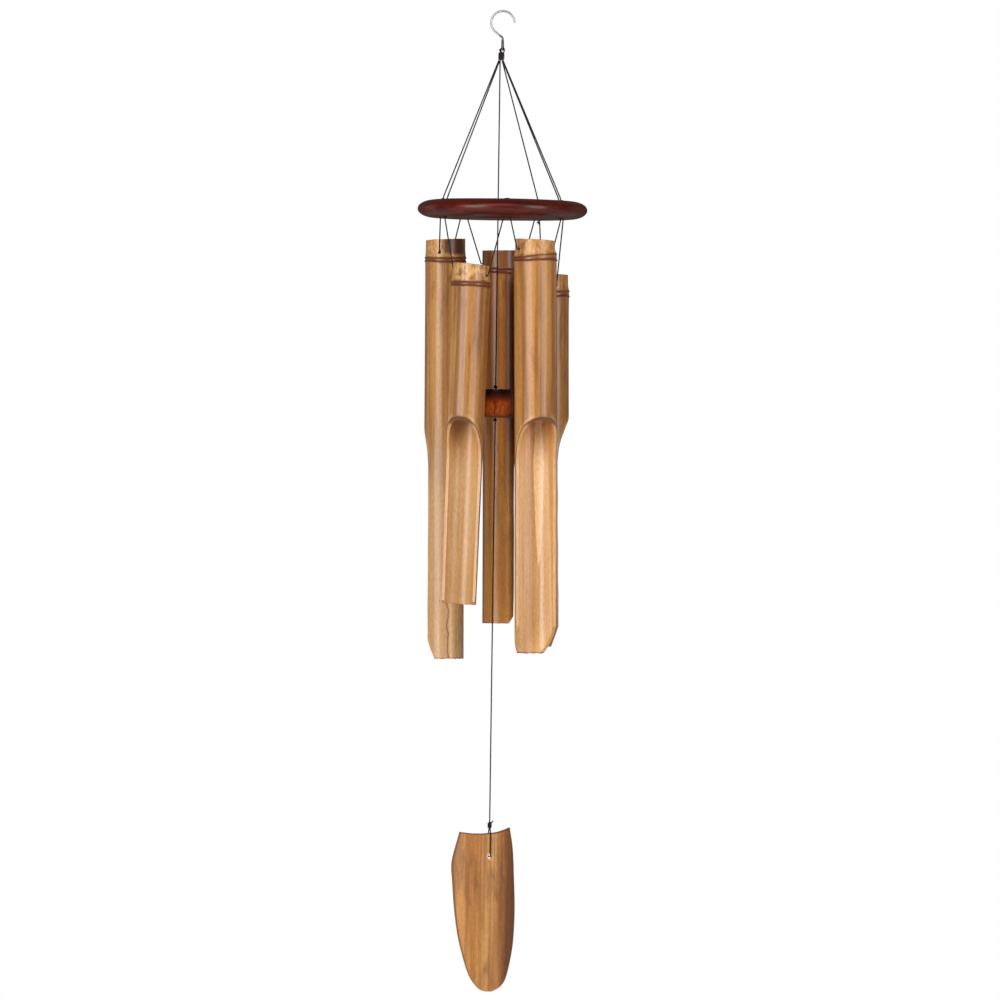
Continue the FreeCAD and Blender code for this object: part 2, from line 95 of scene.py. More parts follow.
TUBES = {
    "left": tube_of(
        azimuth=253.1, offset=54.9, radius=18.9, holes_z=-224.3, top=12.6, node=6.3, length=378.0,
        scoop=154.4, opens=219, bevel=(18, 8), lean=(0.5, 0.3), jag=0.9, rim=(-0.4, 0.75), lips=(1.7, 0.15),
        stains=[(175, 38, 6, 8, 0.9)], cracks=[(152, -318, -376)], dark=0.25, raw=0.75, faded=0.42,
        tint=(255, 255, 242)),
    "front_left": tube_of(
        azimuth=326, offset=50.5, radius=17.9, holes_z=-246.6, top=10.7, node=7.8, length=304.4, scoop=130.7,
        opens=340, bevel=(3, 4), lean=(-1.45, -0.7), jag=1.6, rim=(-1.2, -1.15), foot=-1.5, lips=(1.6, 0.1),
        scars=[(60, 3.4, 15)], stains=[(60, 26, -30, 40, 0.35)], dark=0.3, raw=1.0, tint=(246, 246, 242),
        hollow=(226, 220, 198)),
    "back": tube_of(
        azimuth=180, offset=50.0, radius=18.6, holes_z=-232.4, top=12.1, node=7.0, length=336.6, scoop=150.0,
        opens=127, bevel=(7, 5), lean=(0.8, 0.9), jag=0.6, rim=(-0.3, 0.0), lips=(1.6, 0.1),
        # The stripes at 200 and 262 degrees are painted shade from the tubes in front; with dark and tint
        # they paint this tube darker as shade.
        stains=[(230, 130, 8, 22, 0.5), (200, 26, -60, 130, 0.5), (262, 20, -60, 140, 0.7)],
        dark=0.4, raw=0.1, faded=0.36, tint=(255, 224, 144)),
    "front_right": tube_of(
        azimuth=36.8, offset=51.2, radius=20.0, holes_z=-221.5, top=8.8, node=8.7, length=374.0, scoop=155.5,
        opens=20, bevel=(25, 15), lean=(0.9, -0.7), jag=1.4, rim=(-1.5, -1.0), lips=(1.5, 0.8),
        scars=[(-56, 3.9, 9)], stains=[(-70, 16, 0, 12, 0.4)], flames=[(151, 17, -200, -292)],
        dark=0.15, raw=0.8, tint=(255, 252, 240), hollow=(246, 252, 255)),
    "right": tube_of(
        azimuth=110, offset=47.5, radius=18.2, holes_z=-253.5, top=10.6, node=8.2, length=336.0, scoop=121.0,
        opens=114, bevel=(19, 7), lean=(1.0, 0.3), jag=1.2, rim=(-0.8, -0.3), lips=(2.3, 0.1),
        # dark and tint paint this tube darker as shade, since it hangs at the right, a little to the back.
        stains=[(215, 40, 0, 18, 0.45)], dark=0.4, raw=0.3, tint=(242, 236, 198)),
}

# Wind catcher: its edge down each side, as sideways place and height from the top, and the dip of its top
SAIL_RADIUS, SAIL_WALL, SAIL_TURN, SAIL_TOP = 44.5, 3.2, 22.5, -759.5
SAIL_RIGHT = [(22.2, 0.8), (26.8, -19.4), (29.1, -45.0), (31.0, -77.1), (28.6, -108.4), (20.4, -137.0),
              (13.2, -146.8), (4.0, -151.4)]
SAIL_LEFT = [(-26.3, -3.3), (-31.5, -30.2), (-31.0, -50.2), (-29.0, -79.8), (-25.3, -106.9), (-17.8, -135.2),
             (-9.2, -148.2), (-2.5, -151.4)]
SAIL_DIP = 2.9
SAIL_HOLE_Z, SAIL_HOLE, SAIL_LEG_GAP, SAIL_LEG_GAP_BACK = -785.4, 2.1, 0.9, 1.8
SAIL_SKIN = (SAIL_WALL + SAIL_LEG_GAP_BACK - SAIL_LEG_GAP) / 2
SHOULDER_DROP = 2.2


# ---- small helpers

def outward(azimuth):
    a = math.radians(azimuth)
    return np.array([math.sin(a), -math.cos(a), 0.0])


def along(azimuth):
    a = math.radians(azimuth)
    return np.array([math.cos(a), math.sin(a), 0.0])


def spin(degrees, axis="Z"):
    return Matrix.Rotation(math.radians(degrees), 4, axis)


def smooth(t):
    t = np.clip(t, 0, 1)
    return t * t * (3 - 2 * t)


def bell(off, width):
    return np.exp(-(off / width) ** 2)


def wander(values, pace, seed):
    """Even, repeatable noise from -1 to 1 along a list of values."""
    return np.array([noise.noise(Vector((v * pace, seed * 7.31, 0.5))) for v in np.ravel(values)])


def around(count):
    """Evenly spaced angles once round a circle."""
    return np.linspace(0, 2 * np.pi, count + 1)[:-1]


def towards(start, end, distance):
    return start + (end - start) / np.linalg.norm(end - start) * distance


def node_box(node):
    low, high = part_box(node)
    return np.array(low) / MM, np.array(high) / MM


def node_middle(node):
    low, high = node_box(node)
    return (low + high) / 2


def straight_ends(node):
    """The middles of a straight cord's two ends, the upper one first."""
    co = np.array([v.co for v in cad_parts[node].data.vertices]) / MM
    middle = (co.max(0) + co.min(0)) / 2
    axis = np.linalg.svd(co - co.mean(0), full_matrices=False)[2][0]
    axis = axis * np.sign(axis[2])
    reach = (co - middle) @ axis
    return middle + axis * reach.max(), middle + axis * reach.min()


RING_LOW, RING_HIGH = (corner[2] for corner in node_box("top_ring"))
RING_X = node_middle("top_ring")[0]
KNOT_LOW, KNOT_HIGH = node_box("top_knot")
PLUMB_X = node_middle("clapper_cord")[0]


def on_ring(azimuth, radius, z):
    return np.array([RING_X, 0, z]) + outward(azimuth) * radius


def plumb(z):
    return np.array([PLUMB_X, 0, z])


# ---- meshes

class Surface:
    """Grids of points that are welded into one closed mesh where their edges meet."""

    def __init__(self):
        self.points, self.faces, self.count = [], [], 0

    def grid(self, rows):
        rows = np.asarray(rows, float)
        n, m = rows.shape[:2]
        index = np.arange(n * m).reshape(n, m) + self.count
        quads = np.stack([index[:-1, :-1], index[:-1, 1:], index[1:, 1:], index[1:, :-1]], axis=-1)
        self.points.append(rows.reshape(-1, 3))
        self.faces += quads.reshape(-1, 4).tolist()
        self.count += n * m
        return self

    def mesh(self, name):
        raw = bpy.data.meshes.new(name)
        raw.from_pydata(np.concatenate(self.points).tolist(), [], self.faces)
        work = bmesh.new()
        work.from_mesh(raw)
        bmesh.ops.remove_doubles(work, verts=work.verts, dist=2e-4)
        bmesh.ops.dissolve_degenerate(work, edges=work.edges, dist=1e-4)
        bmesh.ops.recalc_face_normals(work, faces=work.faces)
        work.to_mesh(raw)
        work.free()
        return raw


def closed_rows(rows):
    """Rows that go right round, with the first point repeated at the end, and a point at each end."""
    rows = np.asarray(rows, float)
    rows = np.concatenate([rows, rows[:, :1]], axis=1)
    first, last = (np.broadcast_to(row[:-1].mean(0), rows[:1].shape) for row in (rows[0], rows[-1]))
    return np.concatenate([first, rows, last])


def turned(section, count):
    """Rows of points for a section (radius, height) turned about the upright line."""
    angle = np.linspace(0, 2 * np.pi, count + 1)
    radius, height = section[:, :1], section[:, 1:]
    return np.stack([radius * np.cos(angle), radius * np.sin(angle),
                     np.broadcast_to(height, (len(section), count + 1))], axis=-1)


def placed(name, data):
    made = bpy.data.objects.new(name, data)
    bpy.context.scene.collection.objects.link(made)
    return made


def bored(mesh, bores):
    """The mesh with round holes: each bore is a start, an end and a radius."""
    target = placed("target", mesh)
    cutters = Surface()
    angles = around(36)
    for start, end, radius in bores:
        axis = Vector(end - start).normalized()
        side = np.array(axis.orthogonal().normalized())
        other = np.cross(np.array(axis), side)
        circle = radius * (np.outer(np.cos(angles), side) + np.outer(np.sin(angles), other))
        cutters.grid(closed_rows([start + circle, end + circle]))
    cutter = placed("cutter", cutters.mesh("cutter"))
    cut = target.modifiers.new("cut", "BOOLEAN")
    cut.operation, cut.solver, cut.object = "DIFFERENCE", "EXACT", cutter
    result = bpy.data.meshes.new_from_object(target.evaluated_get(bpy.context.evaluated_depsgraph_get()))
    for spare in (target, cutter):
        bpy.data.objects.remove(spare)
    return result


def points_of(mesh):
    co = np.zeros(len(mesh.vertices) * 3)
    mesh.vertices.foreach_get("co", co)
    return co.reshape(-1, 3)


def set_points(mesh, points):
    mesh.vertices.foreach_set("co", np.asarray(points, np.float32).ravel())
    mesh.update()


def skin_zones(mesh, limit):
    """Each face's zone on a piece of a round culm (0 outside, 1 inside, 2 cut), its normal and middle."""
    normal, middle = (np.zeros(len(mesh.polygons) * 3) for _ in range(2))
    mesh.polygons.foreach_get("normal", normal)
    mesh.polygons.foreach_get("center", middle)
    normal, middle = normal.reshape(-1, 3), middle.reshape(-1, 3)
    facing = (normal[:, :2] * middle[:, :2]).sum(1) / np.maximum(np.hypot(*middle[:, :2].T), 1e-6)
    return np.where(facing > limit, 0.0, np.where(facing < -limit, 1.0, 2.0)), normal, middle


def mark(mesh, name, values, domain="POINT"):
    """Stores numbers, or places, on a mesh for its material to read."""
    values = np.asarray(values, np.float32)
    kind, field = ("FLOAT_VECTOR", "vector") if values.ndim == 2 else ("FLOAT", "value")
    attribute = mesh.attributes.get(name) or mesh.attributes.new(name, kind, domain)
    attribute.data.foreach_set(field, values.ravel())


def piece(name, mesh, material, slot, body, *replaced, sharp=38):
    """A finished piece of the object, from a mesh in millimetres."""
    mesh.transform(Matrix.Scale(MM, 4))
    mesh.materials.clear()
    mesh.materials.append(material)
    mesh.shade_smooth()
    mesh.set_sharp_from_angle(angle=math.radians(sharp))
    made = placed(name, mesh)
    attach(made, body)
    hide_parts(*replaced)
    return made


# ---- materials

def tone(red, green, blue):
    """A colour given as on a screen, from 0 to 255, as the light that it stands for."""
    def light(c):
        c /= 255
        return c / 12.92 if c <= 0.04045 else ((c + 0.055) / 1.055) ** 2.4
    return (light(red), light(green), light(blue), 1)


class Shader:
    """A material with one Principled surface, and short ways to add the nodes that feed it."""

    def __init__(self, name, **surface):
        self.material = bpy.data.materials.new(name)
        self.material.use_nodes = True
        self.tree = self.material.node_tree
        self.surface = self.tree.nodes["Principled BSDF"]
        for socket, value in surface.items():
            self.surface.inputs[socket.replace("_", " ")].default_value = value

    def add(self, kind, inputs=(), **settings):
        made = self.tree.nodes.new(kind)
        for key, value in settings.items():
            setattr(made, key, value)
        for key, value in dict(inputs).items():
            if isinstance(value, bpy.types.NodeSocket):
                self.tree.links.new(value, made.inputs[key])
            else:
                made.inputs[key].default_value = value
        return made

    def feed(self, socket, value):
        self.tree.links.new(value, self.surface.inputs[socket])

    def attribute(self, name, output="Fac"):
        return self.add("ShaderNodeAttribute", attribute_name=name).outputs[output]

    def noise(self, place, across, lengthways, detail=2.0, roughness=0.5, distortion=0.0):
        """Noise of a fineness across, and another one along the third axis."""
        place = self.add("ShaderNodeVectorMath", {0: place, 1: (across, across, lengthways)},
                         operation="MULTIPLY").outputs[0]
        return self.add("ShaderNodeTexNoise", {"Vector": place, "Scale": 1.0, "Detail": detail,
                                               "Roughness": roughness, "Distortion": distortion}).outputs[0]

    def range(self, value, low, high, to_low=0.0, to_high=1.0):
        return self.add("ShaderNodeMapRange", {0: value, 1: low, 2: high, 3: to_low, 4: to_high},
                        interpolation_type="SMOOTHSTEP").outputs[0]

    def math(self, operation, first, second):
        return self.add("ShaderNodeMath", {0: first, 1: second}, operation=operation).outputs[0]

    def mix(self, share, first, second, blend="MIX"):
        return self.add("ShaderNodeMix", {0: share, 6: first, 7: second}, data_type="RGBA",
                        blend_type=blend).outputs[2]

    def over(self, under, colour, where, low, high, most=1.0):
        """A colour laid over another one, more so as a value goes from low to high."""
        return self.mix(self.range(where, low, high, 0.0, most), under, colour)

    def tinted(self, colour, tint):
        return self.mix(1.0, colour, tone(*tint), "MULTIPLY")

    def bump(self, height, depth, before=None):
        inputs = {"Height": height, "Strength": 1.0, "Distance": depth * MM}
        if before is not None:
            inputs["Normal"] = before
        return self.add("ShaderNodeBump", inputs).outputs[0]


# Tones of bamboo: pale, golden, brown, flame, inside, cut
TUBE_TONES = (tone(200, 158, 106), tone(178, 126, 66), tone(138, 90, 44), tone(106, 62, 28),
              tone(226, 184, 142), tone(180, 130, 78))
SAIL_TONES = (tone(210, 166, 104), tone(184, 130, 62), tone(150, 94, 34), tone(118, 64, 20),
              tone(206, 160, 100), tone(200, 150, 92))


def bamboo(name, seed, skin_tones, dark, tint, hollow=WHITE, contrast=1.0, coat=0.32):
    """Lacquered bamboo. It reads a piece's marks: grain (place in centimetres, third axis along the
    fibres), skin (0 outside, 1 inside, 2 cut), node (with painted shadow under its two lips), stain
    (dark blotches, and painted shade on some pieces), pale, edge (with painted shade on the cut at the
    opening's top), and raw (mottled above the node; inside, a warmer painted shade under the arch).
    tint multiplies the whole colour, and paints some tubes darker as shade."""
    pale, golden, brown, flame, inside, cut = skin_tones
    s = Shader(name, Roughness=0.5, Coat_Weight=1.0, Coat_Roughness=coat, Specular_IOR_Level=0.12)
    place = s.add("ShaderNodeVectorMath", {0: s.attribute("grain", "Vector"),
                                           1: (seed * 3.7, seed * 1.9, seed)}, operation="ADD").outputs[0]
    zones = s.noise(place, 1.3, 0.045)
    streaks = s.noise(place, 3.9, 0.07, 3.0, 0.55)
    fibres = s.noise(place, 34, 0.5, 3.0, 0.65)
    cloud = s.noise(place, 0.8, 0.2, 4.0, 0.6, 0.5)
    flecks = s.noise(place, 22, 1.8)
    spots = s.noise(place, 7.0, 2.6, 3.0, 0.6)

    outer = s.over(brown, golden, zones, 0.5 - 0.14 / contrast, 0.5 + 0.16 / contrast)
    outer = s.over(outer, pale, streaks, 0.46, 0.78, 0.45 * contrast)
    outer = s.over(outer, flame, streaks, 0.5, 0.26, 0.34 * contrast)
    # dark widens the darker cloud; on the back and right tubes it is set high as painted shade.
    outer = s.over(outer, flame, cloud, 0.58 - 0.24 * dark, 0.84 - 0.22 * dark, 0.8)
    # The stain mark holds dark blotches, and painted shade on the back tube's stripes and the slat's right
    # side.
    stained = s.math("MULTIPLY", s.attribute("stain"), s.range(streaks, 0.2, 0.62, 0.75, 1.1))
    raw = s.attribute("raw")
    patches = s.noise(place, 2.6, 1.5, 4.0, 0.65, 0.6)
    outer = s.mix(s.math("MULTIPLY", raw, s.range(patches, 0.4, 0.6, 0.1, 0.8)), outer, tone(216, 170, 116))
    outer = s.mix(s.math("MULTIPLY", raw, s.range(patches, 0.44, 0.3, 0.0, 0.65)), outer, tone(126, 70, 30))
    outer = s.over(outer, tone(86, 42, 18), stained, 0.18, 0.85)
    # The node mark's colour: the node's own darker band, and painted shadow under its two lips.
    outer = s.over(outer, tone(100, 46, 12), s.attribute("node"), 0.1, 0.9, 0.96)

    inner = s.over(tone(198, 144, 84), inside, s.noise(place, 1.3, 0.04), 0.29, 0.54)
    inner = s.over(inner, tone(234, 200, 172), streaks, 0.5, 0.72, 0.28)
    inner = s.over(inner, golden, zones, 0.54, 0.76, 0.55)
    inner = s.over(inner, brown, cloud, 0.62, 0.88, 0.5)
    # Painted shade: warmer, darker colour inside under the opening's arch, through the raw mark.
    inner = s.over(inner, tone(228, 148, 74), raw, 0.0, 1.0, 0.45)
    inner = s.over(inner, tone(200, 132, 72), s.attribute("stain"), 0.0, 0.5, 0.55)
    inner = s.tinted(inner, hollow)

    skin = s.attribute("skin")
    colour = s.over(outer, inner, skin, 0.4, 0.6)
    colour = s.over(colour, tone(246, 210, 166), s.attribute("pale"), 0.05, 0.9, 0.75)
    colour = s.over(colour, s.over(cut, pale, fibres, 0.35, 0.65), skin, 1.4, 1.6)
    colour = s.over(colour, tone(104, 52, 18), s.attribute("edge"), 0.3, 1.0, 0.92)
    shade = s.math("MULTIPLY", s.range(fibres, 0.25, 0.75, 0.92, 1.05), s.range(flecks, 0.6, 0.76, 1.0, 0.82))
    shade = s.math("MULTIPLY", shade, s.range(spots, 0.3, 0.7, 0.89, 1.1))
    grey = s.add("ShaderNodeCombineColor", {0: shade, 1: shade, 2: shade}).outputs[0]
    # The tint multiplies the whole colour; on the back and right tubes it paints them darker as shade.
    s.feed("Base Color", s.tinted(s.mix(1.0, colour, grey, "MULTIPLY"), tint))
    rough = s.math("ADD", s.range(streaks, 0.3, 0.7, 0.44, 0.56), s.range(skin, 1.2, 1.6, 0.0, 0.16))
    s.feed("Roughness", s.math("ADD", rough, s.range(s.attribute("node"), 0.2, 0.9, 0.0, 0.2)))
    s.feed("Normal", s.bump(s.math("ADD", fibres, streaks), 0.05, s.bump(cloud, 0.45)))
    return s.material


def ring_wood():
    """Dark mahogany stain under a gloss lacquer, with the board's grain along X."""
    s = Shader("ring_wood", Roughness=0.5, Coat_Weight=0.5, Coat_Roughness=0.26, Specular_IOR_Level=0.08)
    place = s.attribute("grain", "Vector")
    board = s.add("ShaderNodeMapping", {0: place, 2: (0, math.radians(90), 0)}).outputs[0]
    bands = s.noise(board, 2.2, 0.14, 4.0, 0.6, 0.5)
    pores = s.noise(board, 26, 1.3)
    colour = s.over(tone(54, 10, 4), tone(90, 20, 7), bands, 0.25, 0.75)
    colour = s.over(colour, tone(116, 32, 14), s.noise(place, 0.8, 0.8, 3.0), 0.55, 0.8, 0.5)
    colour = s.over(colour, tone(28, 6, 5), pores, 0.6, 0.72, 0.8)
    colour = s.over(colour, tone(140, 62, 34), s.attribute("edge"), 0.4, 0.95, 0.4)
    s.feed("Base Color", colour)
    s.feed("Roughness", s.range(bands, 0.3, 0.7, 0.36, 0.48))
    s.feed("Normal", s.bump(pores, -0.04, s.bump(bands, 0.07)))
    return s.material


def striker_wood():
    """Red-brown turned wood, nearly black round its top, with painted shade down the sides that face left and
    right and low down, under a gloss lacquer.
    """
    s = Shader("striker_wood", Roughness=0.42, Coat_Weight=0.3, Coat_Roughness=0.3, Specular_IOR_Level=0.12)
    place = s.attribute("grain", "Vector")
    figure = s.noise(place, 3.4, 1.1, 4.0, 0.6, 0.9)
    fibres = s.noise(place, 16, 2.6, 3.0, 0.6)
    colour = s.over(tone(186, 62, 16), tone(250, 136, 62), figure, 0.32, 0.68)
    colour = s.over(colour, tone(92, 28, 12), fibres, 0.56, 0.74, 0.6)
    # The band mark holds the dark top, and painted shade on the sides and low down.
    dark_top_and_shade = s.math("ADD", s.attribute("band"), s.range(figure, 0.3, 0.7, -0.12, 0.12))
    colour = s.over(colour, tone(92, 24, 12), dark_top_and_shade, 0.05, 0.6, 0.8)
    colour = s.over(colour, tone(26, 13, 14), dark_top_and_shade, 0.45, 1.0)
    colour = s.over(colour, tone(40, 12, 8), s.attribute("edge"), 0.15, 0.9, 0.85)
    s.feed("Base Color", colour)
    s.feed("Roughness", s.range(figure, 0.3, 0.7, 0.22, 0.36))
    s.feed("Normal", s.bump(fibres, -0.08, s.bump(figure, 0.25)))
    return s.material


def black_cord():
    """Waxed near-black cord with a fine fuzz."""
    s = Shader("black_cord", Roughness=0.75, Sheen_Weight=0.08, Sheen_Roughness=0.5, Specular_IOR_Level=0.2)
    place = s.add("ShaderNodeTexCoord").outputs["Object"]
    fuzz = s.noise(place, 5200, 5200, 3.0, 0.7)
    colour = s.over(tone(22, 18, 17), tone(40, 33, 29), s.noise(place, 160, 160, 3.0, 0.6), 0.35, 0.7)
    s.feed("Base Color", s.over(colour, tone(70, 60, 52), fuzz, 0.5, 0.75, 0.35))
    s.feed("Roughness", s.range(fuzz, 0.3, 0.7, 0.62, 0.85))
    s.feed("Normal", s.bump(fuzz, 0.06))
    return s.material


def hook_steel():
    """Bright plated wire, finely drawn, a little dulled, and dark at its neck."""
    s = Shader("hook_steel", Metallic=0.55, Roughness=0.42)
    place = s.add("ShaderNodeTexCoord").outputs["Object"]
    tarnish = s.noise(place, 240, 240, 4.0, 0.6)
    scratch = s.noise(place, 5200, 900, 2.0, 0.6)
    colour = s.over(tone(184, 184, 186), tone(132, 131, 129), tarnish, 0.35, 0.72)
    s.feed("Base Color", s.over(colour, tone(70, 68, 64), s.attribute("neck"), 0.1, 0.9, 0.8))
    dull = s.range(tarnish, 0.3, 0.75, 0.34, 0.5)
    s.feed("Roughness", s.math("ADD", dull, s.range(scratch, 0.5, 0.8, 0, 0.1)))
    s.feed("Normal", s.bump(scratch, 0.012))
    return s.material


# ---- cords

def route_line(points):
    """The smooth line of a route: a NURBS spline with the route's points as its control points."""
    curve = bpy.data.curves.new("route", "CURVE")
    curve.dimensions = "3D"
    curve.resolution_u = 16
    spline = curve.splines.new("NURBS")
    spline.points.add(len(points) - 1)
    for control, point in zip(spline.points, points):
        control.co = (*(float(x) for x in point), 1.0)
    spline.order_u = 3
    spline.use_endpoint_u = True
    holder = bpy.data.objects.new("route", curve)
    mesh = bpy.data.meshes.new_from_object(holder)
    line = points_of(mesh)
    bpy.data.objects.remove(holder)
    return line


def through(points, steps=14):
    """A smooth line that passes through points."""
    p = np.asarray(points, float)
    p = np.concatenate([[2 * p[0] - p[1]], p, [2 * p[-1] - p[-2]]])
    t = np.linspace(0, 1, steps, endpoint=False)[:, None]
    runs = [b + t / 2 * (c - a + t * (2 * a - 5 * b + 4 * c - d + t * (3 * b - a - 3 * c + d)))
            for a, b, c, d in zip(p[:-3], p[1:-2], p[2:-1], p[3:])]
    return np.concatenate(runs + [p[-2:-1]])


def respaced(line, step):
    lengths = np.concatenate([[0], np.cumsum(np.linalg.norm(np.diff(line, axis=0), axis=1))])
    at = np.linspace(0, lengths[-1], max(3, math.ceil(lengths[-1] / step) + 1))
    return np.stack([np.interp(at, lengths, line[:, k]) for k in range(3)], axis=1), at


def frames_along(line):
    """At each point of a line its heading and two directions square to it, with no needless twist."""
    heading = np.gradient(line, axis=0)
    heading /= np.linalg.norm(heading, axis=1)[:, None]
    side = np.array(Vector(heading[0]).orthogonal().normalized())
    sides = []
    for direction in heading:
        side = side - direction * (side @ direction)
        side /= np.linalg.norm(side)
        sides.append(side)
    return heading, np.array(sides), np.cross(heading, sides)


def rope_rows(line, radius=CORD):
    """Rings of points round a line: three strands laid together."""
    line, at = respaced(line, CORD_STEP)
    _, sides, others = frames_along(line)
    angle = around(CORD_SIDES)
    twist = 2 * np.pi * at / CORD_LAY
    reach = radius * (1 + CORD_LOBES * np.cos(3 * (angle[None, :] - twist[:, None])))
    return (line[:, None] + reach[..., None] * (np.cos(angle)[None, :, None] * sides[:, None]
                                                + np.sin(angle)[None, :, None] * others[:, None]))


def cord_mesh(name, *lines, radius=CORD):
    made = Surface()
    for line in lines:
        made.grid(closed_rows(rope_rows(np.asarray(line, float), radius)))
    return made.mesh(name)


def cord_piece(name, mesh, body, node):
    return piece(name, mesh, CORD_LOOK, "black_cord", body, node, sharp=180)


def taut_cord(name, points, body, node):
    """A cord that the object holds at both ends."""
    line = route_line(points)
    cord = cord_piece(name, cord_mesh(name, line), body, node)


def reaching(node):
    """The two ends of a straight cord, each moved out a little into what holds it."""
    start, end = straight_ends(node)
    step = (end - start) / np.linalg.norm(end - start) * TUCK
    return [start - step, end + step]


def helix(low, high, radius, turns, tuck=0.55):
    """The line of a cord wound about an upright middle line, its two ends tucked inwards."""
    t = np.linspace(0, 1, int(turns * 28))
    reach = radius - tuck * (1 - smooth(t * turns * 2.2)) - tuck * (1 - smooth((1 - t) * turns * 2.2))
    angle = 2 * np.pi * turns * t
    spots = low[None] * (1 - t[:, None]) + high[None] * t[:, None]
    return spots + np.stack([reach * np.cos(angle), reach * np.sin(angle), 0 * t], axis=1)


def overhand(middle, size, facing):
    """The line of a drawn-up overhand knot whose flat side faces one way."""
    t = np.linspace(0, 2 * np.pi, 90)
    flat = np.stack([np.sin(t) + 2 * np.sin(2 * t), np.cos(t) - 2 * np.cos(2 * t),
                     -1.15 * np.sin(3 * t)], axis=1)
    turn = np.array(Vector(facing).normalized().to_track_quat("Z", "Y").to_matrix())
    return middle + flat * ((size - KNOT_CORD) / 3) @ turn.T


def barrel_core(low, high, radius):
    """The strands inside a wound knot, as one lumpy barrel."""
    t = np.linspace(0, 1, 14)
    angle = around(24)
    swell = radius * np.sin(np.pi * np.clip(t, 0.06, 0.94)) ** 0.3
    reach = swell[:, None] * (1 + 0.08 * np.cos(4 * angle[None] + 5 * t[:, None]))
    spots = low[None] * (1 - t[:, None]) + high[None] * t[:, None]
    ring = np.stack([np.cos(angle), np.sin(angle), 0 * angle], axis=1)
    return spots[:, None] + reach[..., None] * ring[None]


def wound_knot(name, node, body, turns, tails=()):
    """A knot of wound cord in the place of a plain barrel, with the cut ends that stand out of it."""
    low_corner, high_corner = node_box(node)
    middle, outer = (low_corner + high_corner) / 2, (high_corner[0] - low_corner[0]) / 2
    low, high = (np.array([*middle[:2], z])
                 for z in (low_corner[2] + CORD * 1.05, high_corner[2] - CORD * 1.05))
    made = Surface()
    made.grid(closed_rows(rope_rows(helix(low, high, outer - CORD, turns))))
    made.grid(closed_rows(barrel_core(low - UP * 0.4, high + UP * 0.4, outer - 1.5 * CORD)))
    for tail in tails:
        made.grid(closed_rows(rope_rows(route_line([middle + np.array(p) for p in tail]), CORD * 0.9)))
    cord_piece(name, made.mesh(name), body, node)


# ---- hook and top knot

def arc_points(centre, first, second, start, end, radius, steps=40):
    """Points on an arc whose angle goes from the first direction towards the second."""
    a = np.radians(np.linspace(start, end, steps))
    return centre + radius * (np.outer(np.cos(a), first) + np.outer(np.sin(a), second))


def hook_line():
    """The middle of the hook's wire, from the tip of the open C to the end of the eye."""
    across_x = np.array([1.0, 0, 0])
    centre = np.array([0, 0, WIRE - C_RADIUS])
    big = arc_points(centre, across_x, UP, C_TIP, C_END, C_RADIUS, 120)
    a = math.radians(C_END)
    slope = np.array([-math.sin(a), 0, math.cos(a)])
    corner = big[-1] + slope * (-big[-1][0] / slope[0])
    turn = math.acos(-slope[2])
    reach = C_NECK_BEND * math.tan(turn / 2)
    bend = arc_points(corner - UP * reach - across_x * C_NECK_BEND, across_x, UP,
                      math.degrees(turn), 0, C_NECK_BEND, 16)
    across = np.array([math.sin(math.radians(EYE_TURN)), math.cos(math.radians(EYE_TURN)), 0])
    eye_z = NECK_END - math.sqrt((EYE_RADIUS + EYE_NECK_BEND) ** 2 - EYE_NECK_BEND ** 2)
    meet = math.degrees(math.atan2(NECK_END - eye_z, EYE_NECK_BEND))
    small = np.array([0, 0, NECK_END]) + across * EYE_NECK_BEND
    into_eye = arc_points(small, across, UP, 180, 180 + meet, EYE_NECK_BEND, 14)
    eye = arc_points(np.array([0, 0, eye_z]), across, UP, meet, EYE_END - 360, EYE_RADIUS, 90)
    return np.concatenate([big, bend, into_eye, eye]), np.array([0, 0, eye_z])


def hanging_hook():
    line, _ = hook_line()
    keep = np.concatenate([[True], np.linalg.norm(np.diff(line, axis=0), axis=1) > 0.02])
    line, _ = respaced(line[keep], 0.25)
    angle = around(28)
    rows = [(spot, direction, np.outer(np.cos(angle), side) + np.outer(np.sin(angle), other))
            for spot, direction, side, other in zip(line, *frames_along(line))]
    spot, direction, ring = rows[0]
    round_tip = [spot - direction * math.sin(t) * WIRE + ring * math.cos(t) * WIRE
                 for t in np.radians([86, 72, 58, 44, 30, 15])]
    body = [spot + ring * WIRE for spot, _, ring in rows]
    spot, direction, ring = rows[-1]
    cut_end = [spot + direction * 0.12 + ring * (WIRE - 0.05), spot + direction * 0.2 + ring * (WIRE - 0.18)]
    mesh = Surface().grid(closed_rows(round_tip + body + cut_end)).mesh("hook_wire")
    mark(mesh, "neck", smooth((-20.5 - points_of(mesh)[:, 2]) / 2.5))
    piece("hook_wire", mesh, hook_steel(), "hook_steel", "hook", "hanging_hook", sharp=50)


def hook_loop():
    """The cord's bight over the eye, down to the top knot."""
    eye_z = hook_line()[1][2]
    square = np.array([math.cos(math.radians(EYE_TURN)), -math.sin(math.radians(EYE_TURN)), 0])
    middle = np.array([0, 0, eye_z - EYE_RADIUS])
    outline = [(-1.0, -3.0), (-1.75, -0.6), (-1.72, 0.75), (-0.8, 1.78), (0.8, 1.78), (1.72, 0.75),
               (1.75, -0.6), (1.0, -3.0)]
    line = route_line([middle + square * x + UP * z for x, z in outline])
    cord_piece("hook_bight", cord_mesh("hook_bight", line), "sling", "hook_loop")


# ---- ring and what is laced to it

def ring_holes():
    """Each cord hole's place, and its radius."""
    holes = [(place, HOLE_RADIUS) for pair in HOLE_PAIRS for place in hole_places(pair, 0, 0)]
    return holes + [(on_ring(HOLE_PAIRS["back_right"][0], BACK_HOLE_CIRCLE, 0), BACK_HOLE_RADIUS)]


